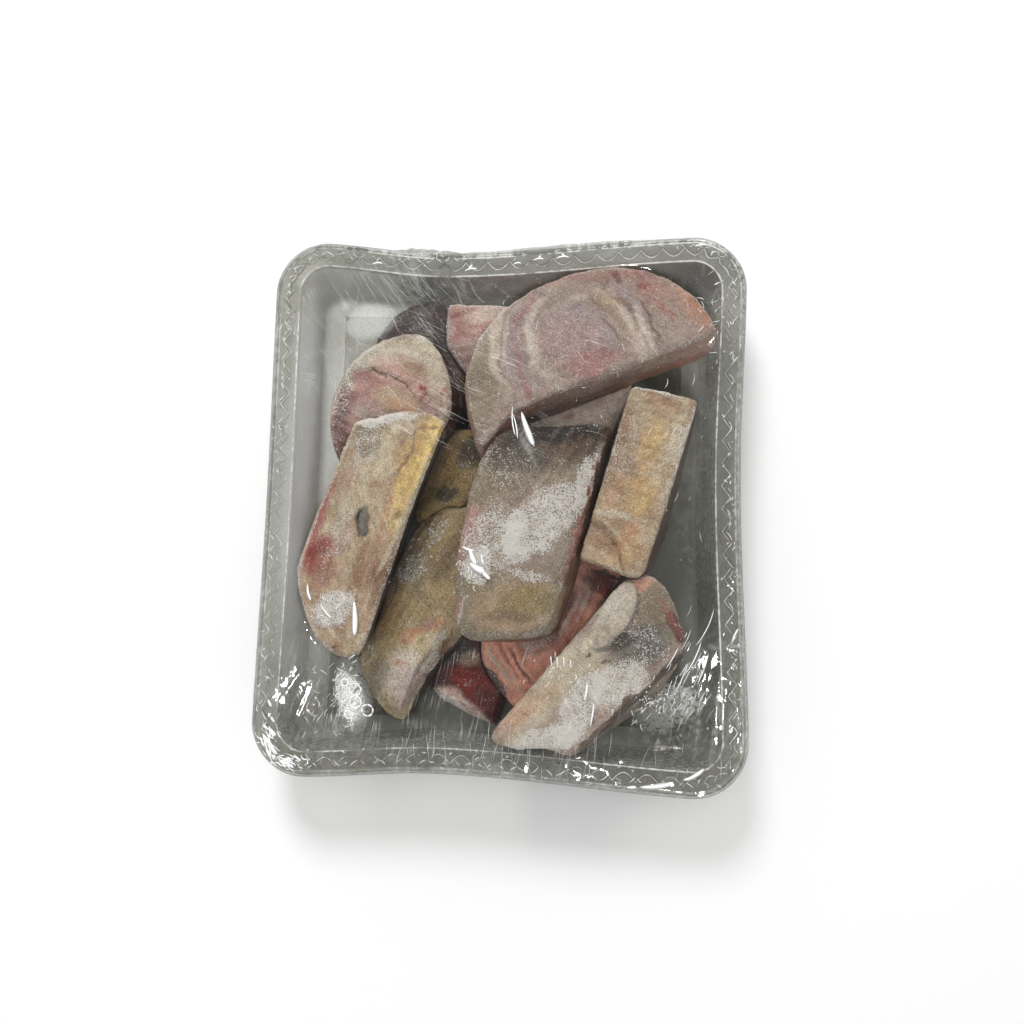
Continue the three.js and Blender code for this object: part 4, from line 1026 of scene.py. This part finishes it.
def crease_height(points):
    """Fine ridges where the film is pulled from the food to the rim, and how white they are, partly as
    painted highlight
    """
    rng = np.random.default_rng(11)
    total, white = np.zeros(len(points)), np.zeros(len(points))
    for start, end, spread, spread_end, count, height, width in CREASES:
        way = np.subtract(end, start) / np.hypot(*np.subtract(end, start))
        side = np.array([-way[1], way[0]])
        for _ in range(count):
            place = rng.uniform(-1, 1)
            a = start + side * (place * spread + rng.normal() * 0.8) + way * rng.uniform(-4, 8)
            b = end + side * (place * spread_end + rng.normal() * 2.5) + way * rng.uniform(-14, 4)
            line = b - a
            t = np.clip((points[:, :2] - a) @ line / (line @ line), 0, 1)
            off = points[:, :2] - a - t[:, None] * line
            reach = (off ** 2).sum(axis=1) / (width * rng.uniform(0.8, 1.6)) ** 2
            near = reach < 9
            ridge = np.exp(-reach[near]) * np.sqrt(np.sin(np.pi * np.clip(t[near], 0.02, 0.98)))
            size = 0.7 * height * rng.uniform(0.3, 1.2)
            total[near] += size * ridge
            # The crease's white along its top, partly painted highlight
            white[near] = np.maximum(white[near], ridge ** 3 * size * rng.choice((0.1, 0.3, 0.6)))
    return total, white


def film_top(foods):
    """Points of the film's top in rings from the rim to the middle, and how white its creases are,
    partly as painted highlight
    """
    level, cover = taut_level(foods)
    n = HALF_CELLS
    rings = [outline(np.arange(8 * k) / (8 * k), RIM_INSET, 0) * (k / n) for k in range(n, 0, -1)]
    flat = np.concatenate([*rings, [[0, 0, 0]]])
    size = np.concatenate([np.full(8 * k, k / n) for k in range(n, 0, -1)] + [[0]])
    on_flange = ease((size - 0.86) / 0.08)
    creases, pulled = crease_height(flat)
    ripples = swells(flat, 0, (0.16, 5, 3), (0.07, 2.2, 5))
    height = sample(level, flat) + (creases + ripples * (0.5 + 2.5 * on_flange) + FILM)
    height = np.maximum(height, sample(cover, flat) - GAP + FILM)
    height[:8 * n] = REST
    flat[:, 2] = height
    return flat, pulled


def web_faces(n):
    """Facets of the film's top, ring by ring: each ring has eight facets less than the one outside it"""
    starts = np.cumsum([0] + [8 * k for k in range(n, 0, -1)])
    faces = []
    for k, a, b in zip(range(n, 1, -1), starts, starts[1:]):
        for side in range(8):
            outer = a + (side * k + np.arange(k + 1)) % (8 * k)
            inner = b + (side * (k - 1) + np.arange(k)) % (8 * (k - 1))
            faces += np.stack([outer[:-1], outer[1:], inner], axis=1).tolist()
            faces += np.stack([outer[1:-1], inner[1:], inner[:-1]], axis=1).tolist()
    last = starts[n - 1]
    return faces + [[last + i, last + (i + 1) % 8, last + 8] for i in range(8)]


def film_sides(share):
    """Rings of the film from the rim out round the lip, down, in under the base, and back inside"""
    drawn = outline(share, 0, 0)
    at_back = lip_points(share)[1][:, 1] > 0.9
    bunch = np.where(at_back, np.clip(1 - np.abs(drawn[:, 0] - BUNCH[0]) / BUNCH[1], 0, 1), 0) ** 0.5
    gather = bunch * (2.2 + 1.3 * lumps(drawn, 5, 8) + 0.7 * lumps(drawn, 1.6, 9))
    pleat = swells(drawn, 0, (1, 3.2, 12), (0.5, 1.4, 13))

    def hem(z):
        return outline(share, FOLD_INSET, z) * (HEM_SHARE, HEM_SHARE, 1)

    def slope(t, off):
        inset = -GAP + (FOLD_INSET + GAP) * t - off + 0.35 * pleat * math.sin(math.pi * t)
        return outline(share, inset, LIP_FOOT * (1 - t))
    way = (0.25, 0.5, 0.75)
    outside = [outline(share, inset, z) for inset, z in (
        (0.1 - gather * 0.6, REST + FILM - 0.1), (-GAP - gather, RIM_HEIGHT - 0.6),
        (-GAP - FILM - gather * 0.7, RIM_HEIGHT - 2), (-GAP - FILM, LIP_FOOT))]
    outside += [*(slope(t, FILM) for t in way), outline(share, FOLD_INSET - FILM, 0), hem(0)]
    inside = [hem(FILM), outline(share, FOLD_INSET, FILM), *(slope(t, 0) for t in reversed(way))]
    inside += [outline(share, inset, z) for inset, z in (
        (-GAP, LIP_FOOT), (-GAP + 0.1 - gather * 0.7, RIM_HEIGHT - 2),
        (-GAP + 0.2 - gather, RIM_HEIGHT - 0.7), (0.25 - gather * 0.6, REST - 0.15))]
    return [*outside, *inside]


def film(foods):
    """The stretch film: taut over the food, round the lip, in to the base and turned under it"""
    flat, pulled = film_top(foods)
    around, count = 8 * HALF_CELLS, len(flat)
    sides = film_sides(np.arange(around) / around)
    points = np.concatenate([flat + (0, 0, FILM), flat, *sides])
    faces = web_faces(HALF_CELLS)
    top_faces = len(faces)
    faces += [[f + count for f in reversed(face)] for face in faces]
    loop = np.arange(around)
    loops = [loop, *(2 * count + r * around + loop for r in range(len(sides))), count + loop]
    for a, b in zip(loops, loops[1:]):
        faces += np.stack([a, b, np.roll(b, -1), np.roll(a, -1)], axis=1).tolist()
    piece = build("film_dressed", points, faces, film_finish())
    piece.data.materials.append(film_inside_finish())
    inner = np.zeros(len(faces), np.int32)
    inner[top_faces:2 * top_faces] = 1
    piece.data.polygons.foreach_set("material_index", inner)
    point_values(piece.data, pulled=np.concatenate([pulled, np.zeros(len(points) - count)]))
    hand_over(piece, "clear_film", "film")
    return piece


# Painted glints on the pulled film: middle, half length, half width, turn and how far the ends bend away
PAINTED_GLINTS = (
    (4.4, 31, 6.7, 0.28, -83, 0.8), (6, 29, 5.5, 0.3, -78, -0.5), (10.3, 27.7, 7.9, 1.2, -69, 0.4),
    (-56.8, -49.5, 7.3, 1.15, -87, -0.4), (-76.4, -39.5, 3.7, 0.55, -75, 0.6), (-69, -47, 4, 0.4, -50, 0.5),
    (-10, -24, 3.4, 1.1, -65, 0.3), (-8, -28.5, 3.6, 1.4, -30, 0.4), (-4.5, -31, 2.6, 0.8, -50, 0.3),
    (-12, -21, 2.6, 0.5, -20, 0.3), (-6, -25, 2.4, 0.4, -75, 0.2), (36, -76, 3.4, 0.5, 80, 0.3),
    (38.6, -85, 5, 0.35, 82, 0.2), (21.9, -64, 2.2, 0.25, 96, 0), (24.3, -64.4, 2.3, 0.3, 96, 0),
    (26.9, -64.2, 2.1, 0.28, 94, 0), (29.6, -64.8, 1.7, 0.25, 95, 0), (84, -50, 9, 0.2, 62, 1.2),
    (79, -62, 8, 0.26, 64, 0.8), (74, -70, 7, 0.2, 66, 0.5), (70, -62, 5, 0.2, 60, 0.3),
    (83, -66, 7, 0.2, 70, 0.5), (65, -113, 7, 1, 8, 0.6), (80, -108.5, 5, 0.8, 30, 0.8),
    (55, -113.6, 2, 0.6, 4, 0), (-94, -85, 1.7, 0.6, -60, 0), (-93.5, -101, 5, 0.6, -56, -0.8),
    (-86, -109, 3.5, 0.5, -28, -0.5), (-15.8, 99.6, 3, 0.4, 8, -0.9), (-16, 100.4, 1.6, 0.5, 60, 0),
    (4, 101.4, 1.8, 0.4, 6, -0.6), (13, 103, 2.4, 0.4, 6, -0.7), (13.4, 103.8, 1.2, 0.4, 70, 0),
    (23, 103.6, 3, 0.4, 6, -0.8), (23.4, 104.5, 1.4, 0.4, -60, 0), (-57, 104, 2.4, 0.4, 4, -0.7),
    (96, -52, 3, 0.4, 60, 0),
)
# Small painted glints strewn over an area: middle, spread, how many, turn and its spread, half length,
# half width
STREWN_GLINTS = (
    ((77, -72), (7, 17), 44, 66, 7, 3.8, 0.075), ((30, -72), (12, 9), 30, 75, 25, 1.2, 0.1),
    ((-10, -28), (7, 10), 34, -60, 50, 1.2, 0.12), ((-66, -46), (8, 7), 22, -60, 30, 1.4, 0.1),
    ((-48, 90), (22, 14), 44, -50, 7, 8, 0.024), ((-28, 46), (26, 22), 44, -30, 5, 9, 0.026),
    ((-70, 60), (14, 20), 20, -75, 14, 7, 0.03), ((16, 60), (40, 22), 20, -60, 40, 1.8, 0.07),
    ((88, 80), (8, 18), 30, 60, 50, 1.6, 0.11), ((-70, -84), (12, 14), 50, 62, 40, 1.6, 0.09),
    ((66, -82), (14, 10), 40, 66, 30, 1.5, 0.1), ((66, -78), (9, 5), 60, 0, 90, 0.28, 0.2),
    ((-36, 108), (16, 4), 26, 10, 30, 2.2, 0.1), ((72, 28), (14, 30), 16, 70, 12, 2.0, 0.07),
    ((10, -102), (60, 8), 60, 84, 8, 5, 0.045), ((-93, -102), (3, 7), 60, -56, 14, 1.7, 0.26),
    ((-85, -108.5), (6, 2), 50, -27, 14, 1.6, 0.24), ((0, 0), (70, 90), 240, 0, 90, 0.22, 0.1),
    ((-59.5, -80), (4, 9), 110, 60, 22, 1.7, 0.13), ((-59.5, -80), (4, 9), 60, -20, 30, 1.3, 0.12),
)
# Rings of painted glints where bubbles catch the light: middle and radius
BUBBLE_GLINTS = ((-56.7, -77.6, 2.4), (-56.7, -82.7, 2.4), (-51.8, -86, 2.3), (-60.8, -75, 1.4), (-59.5, -88, 1.6))
RIM_GLINTS = 300  # painted glints strewn along the rim
STEPS = 9  # points along a painted glint


def slivers_of():
    """Every painted glint: middle, half length, half width, turn and how far the ends bend away"""
    rng = np.random.default_rng(23)
    slivers = list(PAINTED_GLINTS)
    for middle, spread, count, turn, swing, long, wide in STREWN_GLINTS:
        for _ in range(count):
            x, y = middle + rng.normal(size=2) * spread * 0.6
            slivers.append((x, y, long * rng.uniform(0.3, 1.3), wide * rng.uniform(0.6, 1.5),
                            turn + rng.normal() * swing, rng.normal() * 0.3))
    for x, y, radius in BUBBLE_GLINTS:
        for turn in range(0, 360, 60):
            east, north = heading(turn)
            slivers.append((x + radius * east, y + radius * north, 0.55 * radius, 0.4, turn + 90,
                            0.15 * radius))
    # Painted glints strewn over the rim, thicker in places
    share, inset = rng.random(RIM_GLINTS), np.clip(rng.normal(5.4, 2.6, RIM_GLINTS), 1.2, 11)
    places, ways = outline(share, inset, 0), lip_points(share)[1]
    busy = swells(places, 0, (1, 30, 2), (0.6, 11, 6))
    for (x, y, _), (east, north), keep in zip(places, ways, busy):
        if rng.uniform(-1.1, 0.5) < keep:
            turn = math.degrees(math.atan2(north, east)) + 90 + rng.choice((-55, -35, 0, 35, 55))
            turn += rng.normal() * 10
            slivers.append((x, y, rng.uniform(0.3, 1.4), rng.uniform(0.06, 0.2), turn, rng.normal() * 0.3))
    # Painted glints along the wavy step
    share = (np.arange(2 * WAVES) + 0.5 + 0.2 * rng.normal(size=2 * WAVES)) / (2 * WAVES)
    places, ways = outline(share, STEP_INSET, 0), lip_points(share)[1]
    for k, ((x, y, _), (east, north)) in enumerate(zip(places, ways)):
        if rng.random() < 0.85:
            turn = math.degrees(math.atan2(north, east)) + 90 + (38 if k % 2 else -38) + rng.normal() * 5
            slivers.append((x, y, rng.uniform(1.0, 2.4), rng.uniform(0.06, 0.14), turn,
                            rng.choice((-0.4, 0.4))))
    return slivers


def lay_painted_glints(cover):
    """Painted glints: white slivers on the film, as crisp drops, short strokes and the rim's glitter"""
    points, faces = [], []
    t = np.linspace(-1, 1, STEPS)
    for x, y, long, wide, turn, sag in slivers_of():
        way = heading(turn)
        side = np.array([-way[1], way[0]])
        spine = np.array([x, y]) + np.outer(long * t, way) + np.outer(sag * t ** 2, side)
        width = wide * np.sqrt(np.maximum(1 - t ** 2, 0)) * (1 + 0.25 * t)
        heights = []
        for px, py in spine:
            hit, where, *_ = cover.ray_cast((px * MM, py * MM, 1), (0, 0, -1))
            heights.append(where[2] / MM if hit else -1)
        if min(heights) < RIM_HEIGHT - 2:
            continue
        first = len(points)
        for k, ((px, py), w, z) in enumerate(zip(spine, width, heights)):
            if k in (0, STEPS - 1):
                points.append((px, py, z))
            else:
                points += [(px + side[0] * w, py + side[1] * w, z), (px, py, z - 0.12),
                           (px - side[0] * w, py - side[1] * w, z), (px, py, z + 0.1 + 0.12 * w)]
        rows = [[first + 1 + 4 * r + c for c in range(4)] for r in range(STEPS - 2)]
        for c in range(4):
            d = (c + 1) % 4
            faces.append([first, rows[0][d], rows[0][c]])
            faces += [[a[c], a[d], b[d], b[c]] for a, b in zip(rows, rows[1:])]
            faces.append([first + 4 * (STEPS - 2) + 1, rows[-1][c], rows[-1][d]])
    hand_over(build("film_painted_glints", points, faces, painted_glint_finish()), "clear_film")


def painted_glint_finish():
    """White for the painted glints"""
    material, w = new_finish("painted_glints_white")
    place = w.millimetres()
    colour = w.mix(w.noise(place, 0.8), (0.9, 0.9, 0.89, 1), (1, 1, 1, 1))
    w.plain(colour, w.fade(w.noise(place, 0.6), 0.3, 0.7, 0.15, 0.4))
    return material


# Floor, lights and camera

FLOOR_HALF, FLOOR_HEIGHT = 4000, -0.2
# Lamps: place in metres, size, power, and whether one shows only in what mirrors it
LAMPS = [("key", (-0.27, 1.02, 1.07), 0.45, 15.5, False), ("overhead", (0, 0, 1.7), 1.4, 9, False)]
LAMPS += [("glint", spot, 0.1, 2.4, True) for spot in (
    (0.35, -1.0, 0.7), (-0.9, -0.5, 0.7), (0.8, -0.3, 0.8), (0.3, 0.9, 0.7))]

def floor():
    material, w = new_finish("white_floor")
    colour = w.mix(w.noise(w.millimetres(), 300.0), (0.86, 0.86, 0.86, 1), (0.88, 0.88, 0.88, 1))
    w.plain(colour, 0.9, Specular_IOR_Level=0.1)
    corners = [(x * FLOOR_HALF, y * FLOOR_HALF, FLOOR_HEIGHT)
               for x, y in ((-1, -1), (1, -1), (1, 1), (-1, 1))]
    build("floor", corners, [[0, 1, 2, 3]], material)


def lamp(name, place, size, power, glints):
    """A round lamp aimed at the pack"""
    data = bpy.data.lights.new(name, "AREA")
    data.shape, data.size, data.energy = "DISK", size, power
    light = bpy.data.objects.new(name, data)
    light.location = Vector(place)
    light.rotation_euler = (-Vector(place)).to_track_quat("-Z", "Y").to_euler()
    light.visible_glossy, light.visible_diffuse = glints, not glints
    bpy.context.scene.collection.objects.link(light)


def sky():
    """Soft white room light, dimmer overhead than round the horizon"""
    world = bpy.data.worlds.new("room")
    bpy.context.scene.world = world
    world.use_nodes = True
    world.node_tree.nodes.clear()
    w = Wiring(world.node_tree)
    up = w.add("ShaderNodeSeparateXYZ", {0: w.add("ShaderNodeTexCoord", out="Generated")}, 2)
    level = w.fade(up, 0.35, 0.92, 1.0, 0.2)
    shade = w.add("ShaderNodeBackground", {"Color": (1, 1, 1, 1), "Strength": level})
    w.add("ShaderNodeOutputWorld", {"Surface": shade})


def camera():
    data = bpy.data.cameras.new("camera")
    data.lens, data.sensor_width = LENS, SENSOR
    data.clip_start, data.clip_end = 0.01, 20
    eye = bpy.data.objects.new("camera", data)
    back = (Vector(EYE) - Vector(AIM)).normalized()
    right = (Vector(RIGHT_HAND) - back * Vector(RIGHT_HAND).dot(back)).normalized()
    turn = Matrix((right, back.cross(right), back)).transposed()
    eye.matrix_world = Matrix.Translation(Vector(EYE) * MM) @ turn.to_4x4()
    bpy.context.scene.collection.objects.link(eye)
    bpy.context.scene.camera = eye


bpy.context.scene.view_settings.view_transform = "Standard"
light_paths = bpy.context.scene.cycles
light_paths.transparent_max_bounces = 24  # the film, the tray and the film again, there and back
light_paths.max_bounces, light_paths.diffuse_bounces, light_paths.glossy_bounces = 2, 2, 1
light_paths.caustics_reflective = light_paths.caustics_refractive = False
camera()
sky()
floor()
for values in LAMPS:
    lamp(*values)
tray()
foods = [food_piece(name, look, 10 * i) for i, (name, look) in enumerate(LOOKS.items())]
stand_grains(foods)
lay_painted_glints(film(foods))
